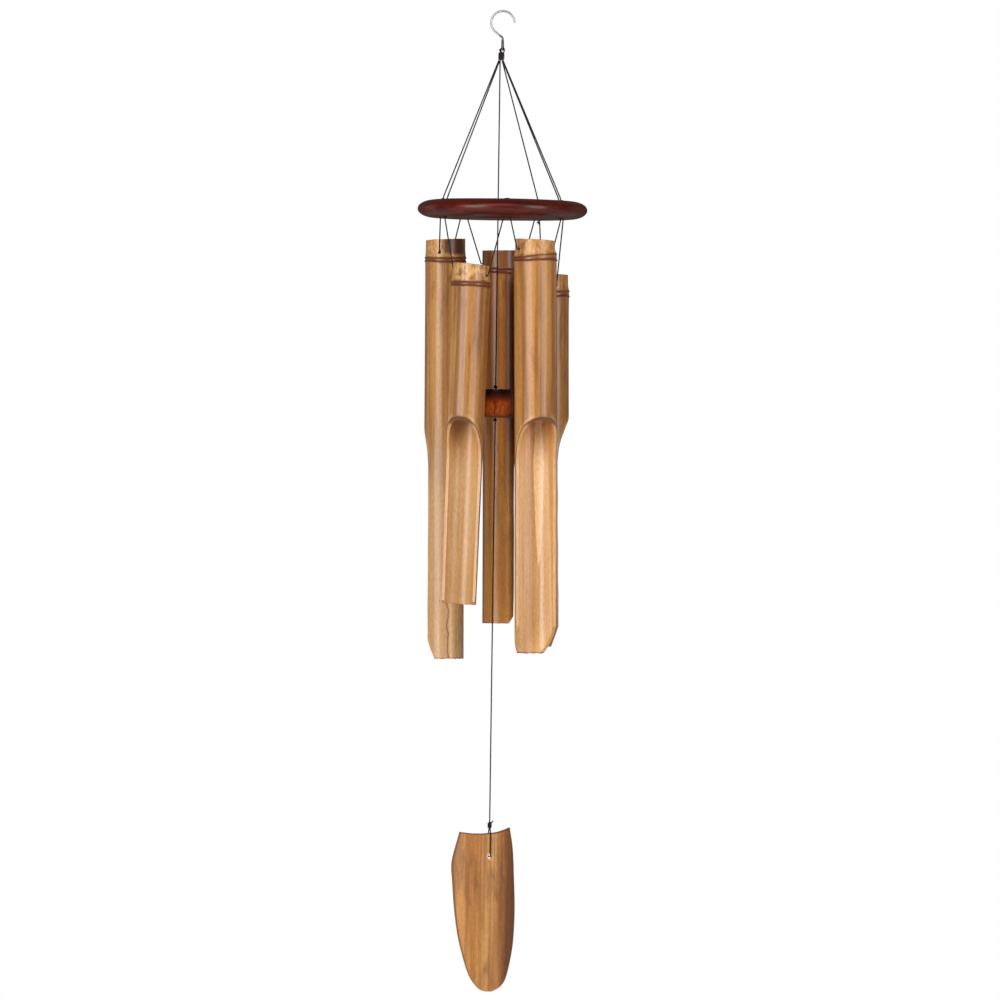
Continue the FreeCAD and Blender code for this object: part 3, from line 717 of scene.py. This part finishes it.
def top_ring():
    half, middle_z = (RING_HIGH - RING_LOW) / 2, (RING_HIGH + RING_LOW) / 2
    inner_flat, outer_flat = RING_INNER + RING_ROUNDING, RING_OUTER - RING_ROUNDING
    flank = np.radians(np.linspace(-90, 90, 33))
    outer = np.stack([outer_flat + RING_ROUNDING * np.cos(flank), half * np.sin(flank)], axis=1)
    top = np.stack([np.linspace(outer_flat, inner_flat, 6)[1:-1], np.full(4, half)], axis=1)
    inner = np.stack([inner_flat - RING_ROUNDING * np.cos(flank[::-1]), half * np.sin(flank[::-1])], axis=1)
    section = np.concatenate([outer, top, inner, top[::-1] * [1, -1], outer[:1]])
    mesh = Surface().grid(turned(section, 240) + np.array([RING_X, 0, middle_z])).mesh("turned_ring")
    mesh = bored(mesh, [(spot + UP * (RING_LOW - 3), spot + UP * (RING_HIGH + 3), radius)
                        for spot, radius in ring_holes()])
    points = points_of(mesh)
    mark(mesh, "grain", (points - [RING_X, 0, middle_z]) / 10)
    flat = points[:, :2]
    near = np.min([np.abs(np.hypot(*(flat - spot[:2]).T) - radius) for spot, radius in ring_holes()], axis=0)
    mark(mesh, "edge", np.exp(-near / 0.5) * (np.abs(points[:, 2] - middle_z) > half - 1))
    lathe = 0.18 * wander(np.degrees(np.arctan2(points[:, 1], points[:, 0] - RING_X)), 0.02, 3)
    set_points(mesh, points + UP * lathe[:, None] * (np.abs(points[:, 2] - middle_z) / half)[:, None])
    piece("turned_ring", mesh, ring_wood(), "ring_wood", "canopy", "top_ring")


def hole_places(pair, side, z):
    """Two places in a pair of holes. side is 0 for their middles, +1 for lacing, -1 for suspension."""
    azimuth, reach, spread = HOLE_PAIRS[pair]
    middle = on_ring(azimuth, reach + side * HOLE_SIDE, z)
    return middle - along(azimuth) * spread, middle + along(azimuth) * spread


def ring_lacings():
    for pair in HOLE_PAIRS:
        low, high = hole_places(pair, 1, RING_LOW - TUCK), hole_places(pair, 1, RING_HIGH + CORD * 0.2)
        down = UP * LEAD_IN / 3
        taut_cord(f"lacing_{pair}", [low[0], high[0] - down, high[0], high[1], high[1] - down, low[1]],
                  "canopy", f"ring_lacing_{pair}")


def suspension_cords():
    foot = KNOT_LOW[2] - TUCK * 0.2
    knot_x = (KNOT_LOW[0] + KNOT_HIGH[0]) / 2
    for pair in ("left", "right"):
        start, end = (np.array([knot_x + x, y, foot]) for x, y in EXITS[pair])
        low, high = hole_places(pair, -1, RING_LOW - CORD - 0.05), hole_places(pair, -1, RING_HIGH + 1)
        down, up = UP * LEAD_IN / 2, UP * LEAD_IN / 3
        points = [start, towards(high[0], start, LEAD_IN), high[0], high[0] - down, low[0] + up, low[0],
                  low[1], low[1] + up, high[1] - down, high[1], towards(high[1], end, LEAD_IN), end]
        taut_cord(f"suspension_{pair}", points, "canopy", f"suspension_cord_{pair}")
    x, y = EXITS["back"][0]
    start = np.array([knot_x + x, y, foot])
    azimuth = HOLE_PAIRS["back_right"][0]
    high, low = (on_ring(azimuth, BACK_HOLE_CIRCLE, z) for z in (RING_HIGH + 1, RING_LOW - TUCK))
    points = [start, towards(high, start, LEAD_IN), high, high - UP * LEAD_IN / 2, low]
    taut_cord("suspension_back", points, "canopy", "suspension_cord_back")
    middle = node_middle("ring_knot_back")
    tail = route_line(middle + [(0, 0, 0), (0.4, 0.4, -1), (0.7, 0.9, -1.9)])
    cord_piece("ring_stopper", cord_mesh("ring_stopper", overhand(middle, 1.55, UP), tail, radius=KNOT_CORD),
               "canopy", "ring_knot_back")


# ---- tubes

def hang_matrix(tube):
    """A tube's own frame: X outward, Y along the line of its side holes, Z up the tube."""
    lean_x, lean_y = tube["lean"]
    place = Matrix.Translation(Vector(on_ring(tube["azimuth"], tube["offset"], tube["holes_z"])))
    turn = spin(-lean_x, "Y") @ spin(lean_y, "X")
    return place @ turn @ spin(tube["azimuth"] - 90)


def drum_of(tube):
    """The round tool that cuts the opening's top: its radius and the height where its cut ends."""
    r = tube["radius"]
    return (r ** 2 + RUN_OUT ** 2) / (2 * r), -tube["scoop"] - RUN_OUT


def cut_depth(tube, z):
    """How far the opening's cut stands from the tube's middle at a height: the whole radius above
    the opening, the middle below its round top, and further back again at the bevelled end."""
    (height, depth), (drum, lip) = tube["bevel"], drum_of(tube)
    depth_here = drum - np.sqrt(drum ** 2 - np.clip(z - lip, 0, RUN_OUT) ** 2)
    waver = 0.45 * wander(z, 0.035, tube["radius"]) * smooth((lip - z) / 25)
    return depth_here + waver - depth * (1 - np.clip((z + tube["length"]) / height, 0, 1))


def cut_distance(tube, x, z):
    """How far points of the wall are from the cut of the opening."""
    drum, lip = drum_of(tube)
    left_over = np.sqrt(drum ** 2 - np.clip(z - lip, 0, 0.98 * drum) ** 2)
    depth = np.where(z > -tube["scoop"], drum - left_over, cut_depth(tube, z))
    return np.abs(depth - x) * left_over / drum


def tube_levels(tube):
    """The heights of a tube's rows of points, from the top down."""
    top, node, bottom, r = tube["top"], -tube["node"], -tube["length"], tube["radius"]
    drum, lip = drum_of(tube)
    across = np.append(r * np.cos(np.radians(np.linspace(0, 90, 24))), r - WALL)
    arch = lip + np.sqrt(drum ** 2 - (drum - np.sort(across)[::-1]) ** 2)
    bevel = bottom + tube["bevel"][0]
    return np.concatenate([
        [top, top - RIM], np.linspace(top - 1.5, node + 4, 5), np.linspace(node + 3.2, node - 3.2, 27),
        np.linspace(node - 5, arch[0] + 4, 26), arch, np.linspace(lip - 4, bevel + 1, 90),
        np.linspace(bevel, bottom, 9)])


def tube_blank(tube):
    """The tube as sawn and scooped, in the frame whose X faces the middle of the opening."""
    r, inner, levels = tube["radius"], tube["radius"] - WALL, tube_levels(tube)
    depth = np.minimum(cut_depth(tube, levels), r)
    depth[levels > -tube["scoop"] + 1e-6] = r
    share = np.linspace(0, 1, COLUMNS + 1)
    wall = np.linspace(0, 1, WALL_STEPS + 1)[:, None, None]

    def row(radius, z, gap=0.0):
        angle = gap + (2 * np.pi - 2 * gap) * share
        return np.stack([radius * np.cos(angle), radius * np.sin(angle), np.full(len(share), z)], axis=1)

    def gap(x, radius):
        return math.acos(min(1.0, max(-1.0, x / radius)))

    outer = [row(r - RIM if i == 0 else r, z, gap(x, r)) for i, (z, x) in enumerate(zip(levels, depth))]
    ceiling, floor = -tube["node"] - SEPTUM / 2, -tube["node"] + SEPTUM / 2
    below = levels < ceiling - 0.1
    chamber = [row(inner, ceiling)]
    chamber += [row(inner, z, gap(x, inner)) for z, x in zip(levels[below], depth[below])]

    def dish(share_of_radius, z):
        return row(inner * share_of_radius, z + 1.0 * (1 - share_of_radius ** 2))

    spokes = (0.93, 0.8, 0.6, 0.35, 0.15, 0.0)
    cup = [row(inner + RIM, levels[0]), row(inner, levels[0] - RIM), row(inner, floor + 4),
           row(inner, floor + 1), row(inner * 0.98, floor + 0.35)] + [dish(s, floor) for s in spokes]
    lid = [row(inner, ceiling)] + [dish(s, ceiling) for s in spokes]
    made = Surface().grid(outer).grid(chamber).grid(cup).grid(lid)
    made.grid(outer[0] + (cup[0] - outer[0]) * wall).grid(outer[-1] + (chamber[-1] - outer[-1]) * wall)
    open_rows = levels <= -tube["scoop"] + 1e-6
    z, x = levels[open_rows], depth[open_rows]
    y_out, y_in = (np.sqrt(np.maximum(radius ** 2 - x ** 2, 0)) for radius in (r, inner))
    for side in (-1, 1):
        across = y_out[:, None] + (y_in - y_out)[:, None] * wall[:, 0, 0][None]
        made.grid(np.stack([np.broadcast_to(x[:, None], across.shape), side * across,
                            np.broadcast_to(z[:, None], across.shape)], axis=-1))
    return made.mesh("blank")


def bamboo_tube(name, tube, seed):
    r, inner, node, bottom = tube["radius"], tube["radius"] - WALL, -tube["node"], -tube["length"]
    turn = math.radians(tube["opens"] - tube["azimuth"])
    hole_line = np.array([math.sin(turn), math.cos(turn), 0])
    mesh = bored(tube_blank(tube), [(hole_line * sign * 0.4 * r, hole_line * sign * 1.6 * r, SIDE_HOLE)
                                    for sign in (-1, 1)])
    p = points_of(mesh)
    skin, normal, middle = skin_zones(mesh, 0.6)
    skin[(np.abs(normal[:, 2]) > 0.6) & (np.hypot(*middle[:, :2].T) < inner - 0.4)
         & (np.abs(middle[:, 2] - node) < 4)] = 1.0
    mark(mesh, "skin", skin, "FACE")

    radius, angle, z = np.hypot(p[:, 0], p[:, 1]), np.arctan2(p[:, 1], p[:, 0]), p[:, 2]
    rightward = np.cos(angle - math.radians(90 - tube["opens"]))
    outside = np.clip((radius - inner - 0.4) / (WALL - 0.4), 0, 1)

    def off(degrees):
        """How far each point is round the tube from an angle, in degrees."""
        return (np.degrees(angle) - degrees + 180) % 360 - 180

    half, flare = tube["lips"]
    from_node = z - node - 0.4 * np.sin(angle + seed) - 0.25 * np.sin(3 * angle + 2 * seed)
    upper = from_node - half * (1 + flare + flare * rightward + 0.25 * wander(angle, 1.4, seed + 2))
    lower = from_node + half * (1 + 0.2 * wander(angle, 1.8, seed + 3))
    lips = bell(upper, LIP_WIDTH) + bell(lower, LIP_WIDTH)
    # The two dark lines by the lips are painted shadow under the lips; between is the node's own darker band.
    lines = 0.8 * bell(upper + 0.4, 0.8) + bell(lower - 0.1, 0.95)
    lines = lines * (0.88 + 0.3 * wander(angle, 3.1, seed + 12))
    between = 0.32 * smooth(1 - np.abs(from_node) / (half + 1.6)) + 0.22 * smooth(1 - np.abs(from_node) / 9)
    none, far = np.zeros(len(p)), 500
    scar = sum([bell(off(at), wide) * bell(from_node - high, 0.8) for at, high, wide in tube["scars"]], none)
    crack_off = [np.radians(off(at) + 5 * wander(z, 0.12, at) + 1.5 * wander(z, 0.7, at)) * r
                 + far * (1 - smooth((high - z) / 6) * smooth((z - low + 4) / 4))
                 for at, high, low in tube["cracks"]]
    crack = sum([bell(gap, 0.9) for gap in crack_off], none) * outside
    peel = sum([bell(gap - 2.2, 1.5) for gap in crack_off], none) * outside
    flame = none
    for at, wide, high, tip in tube["flames"]:
        reach = wide * np.sqrt(np.clip((z - tip) / (high - tip), 0, 1))
        reach = reach * (1 - 0.35 * smooth((z - high) / 40))
        flame = np.maximum(flame, (1 - outside) * np.clip((reach - np.abs(off(at))) / 1.2, 0, 1))
    foot = 0.3 * outside * smooth(1 - (z - bottom) / 34)
    foot = foot + 0.26 * (1 - outside) * smooth(1 - (z - bottom) / 70)
    stain = np.maximum(0.5 * crack, foot)
    # Stain entries; the back tube's long stripes among them are painted shade.
    for at, wide, height, tall, depth in tube["stains"]:
        shape = smooth(1.5 - np.abs(off(at)) / wide) * smooth(1.5 - np.abs(z - height) / tall)
        stain = np.maximum(stain, depth * shape * outside)
    mark(mesh, "grain", p / 10)
    mark(mesh, "node", outside * np.clip(np.maximum(lines + between, 0.95 * scar), 0, 1))
    mark(mesh, "stain", stain)
    arch = smooth((z + tube["scoop"] + RUN_OUT + 4) / 16) * (z < 0)
    from_cut = np.where(z < -tube["scoop"] + 9, cut_distance(tube, p[:, 0], z), 99)
    worn = 0.4 * arch * smooth((outside - 0.8) / 0.2) * bell(from_cut - 1.7, 1.0)
    faded = tube["faded"] * outside * smooth((-90 - z) / 160)
    mark(mesh, "pale", np.max([flame, 0.5 * peel, worn, faded], axis=0))
    rims = np.exp(-np.minimum(np.abs(tube["top"] - z), z - bottom) / 0.6)
    # Painted shade: the cut face at the top of the opening's arch is darkened, and the dark line along the
    # cut's outer edge grows stronger towards the arch.
    arch_top_shade = 0.95 * smooth((z + tube["scoop"] + 12) / 8)
    cut = np.exp(-from_cut / 0.45) * np.maximum((0.65 + 0.35 * arch) * smooth(1.8 * outside - 0.75), arch_top_shade)
    mark(mesh, "edge", np.max([0.9 * rims, cut, 0.9 * crack], axis=0) * (radius > inner - 0.5))
    # raw: outside, mottled skin above the node; inside, painted shade that makes the hollow warmer and darker
    # under the opening's arch.
    mark(mesh, "raw", np.where(z > node, tube["raw"] * outside * smooth((z - node - 2) / 3),
                               (1 - outside) * smooth((z + tube["scoop"] + 62) / 60)))

    swell = 0.25 * np.exp(-np.abs(z - node) / 14) + LIP_HEIGHT * lips + 0.4 * scar - 0.2 * crack
    ovality = 1 + 0.012 * np.cos(2 * angle + seed) + 0.005 * np.cos(5 * angle + 3 * seed)
    groove = -0.35 * bell(off(math.degrees(seed * 2.2)), 14) * smooth((node - z) / 20)
    wider, rise = tube["rim"]
    taper = wider * smooth((z - node - 1) / 9) + tube["foot"] * np.clip((node - z) / (node - bottom), 0, 1)
    reach = radius * ovality * (1 + taper / r) + outside * (swell + groove)
    ragged = np.abs(wander(angle * 1.3, 2.1, seed)) + 0.6 * np.maximum(wander(angle, 6.5, seed + 5), 0)
    near_top = smooth(1 - (tube["top"] - z) / 8)
    sawn = 0.25 * wander(angle, 3.0, seed + 9) + rise * rightward * radius / r
    bow = 0.5 * np.sin(np.pi * (z - bottom) / (tube["top"] - bottom))
    z_new = z + tube["jag"] * ragged * smooth(1 - (z - bottom) / 12) + sawn * near_top
    set_points(mesh, np.stack([reach * np.cos(angle) + bow * math.cos(seed),
                               reach * np.sin(angle) + bow * math.sin(seed), z_new], axis=1))
    mesh.transform(hang_matrix(tube) @ Matrix.Rotation(turn, 4, "Z"))
    look = bamboo(f"bamboo_{name}", seed, TUBE_TONES, tube["dark"], tube["tint"], tube["hollow"])
    piece(f"bamboo_{name}", mesh, look, "tube_bamboo", f"tube_{name}", f"tube_{name}", sharp=35)


def tube_stoppers(name, tube):
    """The two overhand knots in a tube's side holes, each with its cord's end."""
    matrix = hang_matrix(tube)
    lines = []
    for sign in (-1, 1):
        side = np.array([0.0, sign, 0.0])
        middle = side * (tube["radius"] - WALL - 2.3)
        knot = overhand(middle, 2.2, side)
        stub = np.array([middle, middle + side * 2.5, side * (tube["radius"] + 0.5)])
        tail = route_line([middle, middle + [0.7, -sign * 1.4, 1.2], middle + [1.2, -sign * 2.4, 3.0]])
        lines += [knot, stub, tail]
    lines = [np.array([matrix @ Vector(v) for v in line]) for line in lines]
    cord_piece(f"stoppers_{name}", cord_mesh(f"stoppers_{name}", *lines, radius=KNOT_CORD),
               f"tube_{name}", f"tube_{name}_knots")


def tube_strands(name):
    for number in (1, 2):
        node = f"strand_{name}_{number}"
        taut_cord(f"hanging_{name}_{number}", reaching(node), f"hanger_{name}", node)


# ---- clapper: cords, knots and striker

def striker():
    low, high = node_box("striker")
    bottom, top, r = low[2], high[2], (high[0] - low[0]) / 2
    bore, drawn_height = 1.3, 26.8
    side = [(bore, 0), (6, 0.1), (r - 2.6, 0), (r - 1.2, 0.5), (r - 0.5, 1.6), (r - 0.15, 4), (r, 9),
            (r - 0.1, 14), (r - 0.55, 20), (r - 1.15, 24.3), (r - 1.7, 25.7), (r - 2.8, 26.5), (8, 26.7),
            (5, 26.2), (bore, 25.6)]
    profile = route_line([(radius, 0, z * (top - bottom) / drawn_height) for radius, z in side])
    profile = np.concatenate([profile, [[bore, 0, 12.0], profile[0]]])
    mesh = Surface().grid(turned(profile[:, [0, 2]], 96)).mesh("striker_block")
    p = points_of(mesh)
    angle, radius, height = np.arctan2(p[:, 1], p[:, 0]), np.hypot(p[:, 0], p[:, 1]), p[:, 2]
    mark(mesh, "grain", p / 10)
    rim = top - bottom
    ripple = 1.2 * np.sin(2 * angle + 1) + 0.6 * np.sin(5 * angle)
    # Painted shade: the band mark also darkens the sides that face left and right and the lowest 6 mm, beside
    # the dark top.
    shaded = 0.55 * np.abs(np.cos(angle)) ** 3 + 0.3 * smooth(1 - height / 6)
    mark(mesh, "band", np.clip(np.maximum((height - rim + 15 + ripple * 0.5) / 12, shaded), 0, 1))
    mark(mesh, "edge", np.exp(-height / 1.6) * (radius > r - 3))
    wobble = 1 + 0.010 * np.sin(2 * angle + 0.7) + 0.006 * np.sin(5 * angle)
    bottom_lift = 0.35 * np.abs(wander(angle, 2.2, 4)) * smooth(1 - height / 3)
    p = np.stack([p[:, 0] * wobble, p[:, 1] * wobble, height + bottom_lift], axis=1)
    set_points(mesh, p + plumb(bottom))
    piece("striker_block", mesh, striker_wood(), "striker_wood", "clapper", "striker")


def clapper():
    lead = reaching("clapper_cord_bend")
    cord_piece("clapper_bend", cord_mesh("clapper_bend", lead), "clapper_lead", "clapper_cord_bend")
    taut_cord("clapper_line", reaching("clapper_cord"), "clapper", "clapper_cord")
    striker()
    for node, name, body in (("striker_knot_top", "striker_stopper_top", "clapper"),
                             ("striker_knot_bottom", "striker_stopper_bottom", "catcher_knot")):
        wound_knot(name, node, body, 1.9)


# ---- wind catcher

def sail():
    """A slat split from a wide culm, its rounded skin forward, hung by a hole near its top."""
    left, right = (through([(x, 0, z) for x, z in side]) for side in (SAIL_LEFT, SAIL_RIGHT))
    share = np.linspace(0, 1, 45)[None]
    down = np.concatenate([np.linspace(0, 0.85, 66),
                           0.85 + 0.15 * np.sin(np.radians(np.linspace(3, 90, 26)))])

    def sides(line):
        """Where a side's edge is at each level."""
        z = line[0, 2] + (line[-1, 2] - line[0, 2]) * down
        return np.interp(-z, -line[:, 2], line[:, 0])[:, None], z[:, None]

    (left_x, left_z), (right_x, right_z) = sides(left), sides(right)
    x = left_x + (right_x - left_x) * share
    dip = SAIL_DIP * (1 - (2 * share - 1) ** 2) * smooth(1 - down / 0.16)[:, None]
    z = left_z + (right_z - left_z) * share - dip
    middle, width = (left_x + right_x) / 2, right_x - left_x

    def face(radius, inset=0.0):
        across = middle + (x - middle) * (1 - 2 * inset / np.maximum(width, 8 * inset + 1))
        level = z + inset * (smooth((down - 0.9) / 0.1) - smooth(1 - down / 0.02))[:, None]
        return np.stack([across, -np.sqrt(radius ** 2 - across ** 2), level], axis=-1)

    front, shoulder, waist = SAIL_RADIUS, SAIL_RADIUS - 0.5, SAIL_RADIUS - SAIL_WALL + 0.4
    layers = [face(front, 0.35), face(shoulder), face(waist), face(SAIL_RADIUS - SAIL_WALL, 0.3)]
    made = Surface().grid(layers[0]).grid(layers[-1])

    def border(layer):
        return np.concatenate([layer[0], layer[1:, -1], layer[-1, ::-1][1:], layer[::-1, 0][1:]])

    made.grid([border(layer) for layer in layers])
    hole = np.array([0, 0, SAIL_HOLE_Z - SAIL_TOP])
    mesh = bored(made.mesh("catcher_slat"), [(hole + np.array([0, -SAIL_RADIUS * 1.2, 0]),
                                              hole - np.array([0, SAIL_RADIUS * 0.7, 0]), SAIL_HOLE)])
    mark(mesh, "skin", skin_zones(mesh, 0.75)[0], "FACE")
    p = points_of(mesh)
    mark(mesh, "grain", p / 10)
    x_at, y_at, z_at = p.T
    from_hole = np.hypot(x_at, z_at - hole[2])
    ragged = 0.9 * wander(np.arctan2(z_at - hole[2], x_at), 2.5, 8)
    torn = np.clip(1.3 - (from_hole - SAIL_HOLE + 1.6 * ragged) / 1.5, 0, 1)
    mark(mesh, "pale", 0.5 * torn * (from_hole < 8))
    top_z = np.interp(x_at, x[0], z[0])
    left_at, right_at = (np.interp(-z_at, -line[:, 2], line[:, 0]) for line in (left, right))
    to_side = np.minimum(x_at - left_at, right_at - x_at)
    mark(mesh, "node", bell(z_at - top_z, 1.1))
    mark(mesh, "edge", np.maximum(0.8 * np.exp(-np.maximum(to_side, 0) / 0.7) * (z_at < -4),
                                  bell(z_at - top_z, 0.9)))
    # Painted shade: the right side of the slat, which turns away from the main light, is darkened through the
    # stain mark; the darker left edge is the wood's own colour.
    right_side_shade = smooth((x_at - 11 - 0.04 * z_at) / 13)
    mark(mesh, "stain", np.maximum(0.4 * smooth((-x_at - 17 + 0.08 * z_at) / 9), 0.62 * right_side_shade))
    skin_z = z_at + 0.3 * wander(x_at, 0.16, 6) * smooth(1 - (top_z - z_at) / 8)
    set_points(mesh, np.stack([x_at, y_at, skin_z], axis=1))
    place = plumb(SAIL_TOP) + outward(SAIL_TURN) * (SAIL_SKIN - SAIL_RADIUS)
    mesh.transform(Matrix.Translation(Vector(place)) @ spin(SAIL_TURN))
    look = bamboo("catcher_bamboo", 2.4, SAIL_TONES, 0.4, (255, 252, 238), contrast=0.8, coat=0.5)
    piece("catcher_slat", mesh, look, "sail_bamboo", "sail", "sail")


def catcher():
    taut_cord("catcher_line", reaching("sail_cord"), "catcher_line", "sail_cord")
    wound_knot("catcher_knot_wound", "sail_knot", "sail_sling", 4.2,
               tails=[[(0.4, -1.2, 1.2), (2.0, -1.9, 2.2), (3.3, -1.6, 4.4)]])
    face = outward(SAIL_TURN)
    front, back = face * (SAIL_SKIN + SAIL_LEG_GAP), face * (SAIL_SKIN - SAIL_WALL - SAIL_LEG_GAP_BACK)
    top = node_box("sail_knot")[0][2] + TUCK
    shoulder = top - SHOULDER_DROP - TUCK
    down = UP * LEAD_IN / 3
    points = [plumb(top) + face * 0.9, plumb(shoulder) + front, plumb(SAIL_HOLE_Z) + front + down,
              plumb(SAIL_HOLE_Z) + front, plumb(SAIL_HOLE_Z) + back, plumb(SAIL_HOLE_Z) + back + down,
              plumb(shoulder) + back, plumb(top) - face * 0.9]
    taut_cord("catcher_loop", points, "sail_sling", "sail_loop")
    sail()


# ---- stage, lights and camera

def studio():
    floor_z, rings = -1.05, (0, 0.5, 1.0, 1.6, 2.1)
    disc = turned(np.array([(reach, floor_z) for reach in rings]), 96)
    floor = placed("floor", Surface().grid(disc).mesh("floor"))
    floor.data.materials.append(Shader("floor_paint", Base_Color=(0.9, 0.9, 0.9, 1), Roughness=0.6).material)

    world = bpy.data.worlds.new("studio")
    bpy.context.scene.world = world
    world.use_nodes = True
    nodes, links = world.node_tree.nodes, world.node_tree.links
    glow = nodes["Background"]
    glow.inputs["Color"].default_value = (1, 1, 1, 1)
    seen = nodes.new("ShaderNodeLightPath")
    strength = nodes.new("ShaderNodeMapRange")
    strength.inputs["To Min"].default_value, strength.inputs["To Max"].default_value = 0.09, 1.0
    links.new(seen.outputs["Is Camera Ray"], strength.inputs["Value"])
    links.new(strength.outputs["Result"], glow.inputs["Strength"])

    middle = Vector((0, 0, -0.45))
    # name, azimuth, elevation, distance, width, height, power
    for name, azimuth, elevation, distance, width, height, power in (
            ("key_left", -38, 15, 2.2, 1.1, 2.2, 46), ("key_right", 46, 15, 2.3, 1.0, 2.2, 34),
            ("overhead", -4, 52, 2.2, 1.6, 0.8, 9), ("rim_left", -118, 5, 2.4, 0.8, 2.0, 3.5),
            ("rim_right", 122, 5, 2.4, 0.8, 2.0, 1.2)):
        light = bpy.data.lights.new(name, "AREA")
        light.shape, light.size, light.size_y, light.energy = "RECTANGLE", width, height, power
        light.color = (1.0, 0.965, 0.94)
        lamp = placed(name, light)
        a, e = math.radians(azimuth), math.radians(elevation)
        away = Vector((math.sin(a) * math.cos(e), -math.cos(a) * math.cos(e), math.sin(e)))
        lamp.location = middle + away * distance
        lamp.rotation_euler = away.to_track_quat("Z", "Y").to_euler()
        lamp.visible_camera = False


def camera():
    """Eight metres off, level, a touch rolled, with the whole chime upright in a square frame."""
    distance, frame_height, sensor, roll = 8.0, 0.930, 36.0, 0.785
    aim = Vector((0.0034, 0, -0.4537))
    data = bpy.data.cameras.new("camera")
    data.sensor_width, data.lens = sensor, sensor * distance / frame_height
    data.clip_start, data.clip_end = 0.1, 100
    eye = placed("camera", data)
    eye.matrix_world = Matrix.Translation(aim - Vector((0, distance, 0))) @ spin(90, "X") @ spin(roll)
    bpy.context.scene.camera = eye


# ---- build

camera()
studio()
bpy.context.scene.view_settings.view_transform = "Standard"
CORD_LOOK = black_cord()
hanging_hook()
hook_loop()
wound_knot("top_knot_wound", "top_knot", "gather", 5.2,
           tails=[[(-0.8, -0.6, 3.0), (-1.9, -1.2, 5.0), (-1.3, -1.5, 6.6)]])
top_ring()
ring_lacings()
suspension_cords()
for order, (tube_name, tube_sizes) in enumerate(TUBES.items(), 1):
    bamboo_tube(tube_name, tube_sizes, order * 1.7)
    tube_stoppers(tube_name, tube_sizes)
    tube_strands(tube_name)
clapper()
catcher()
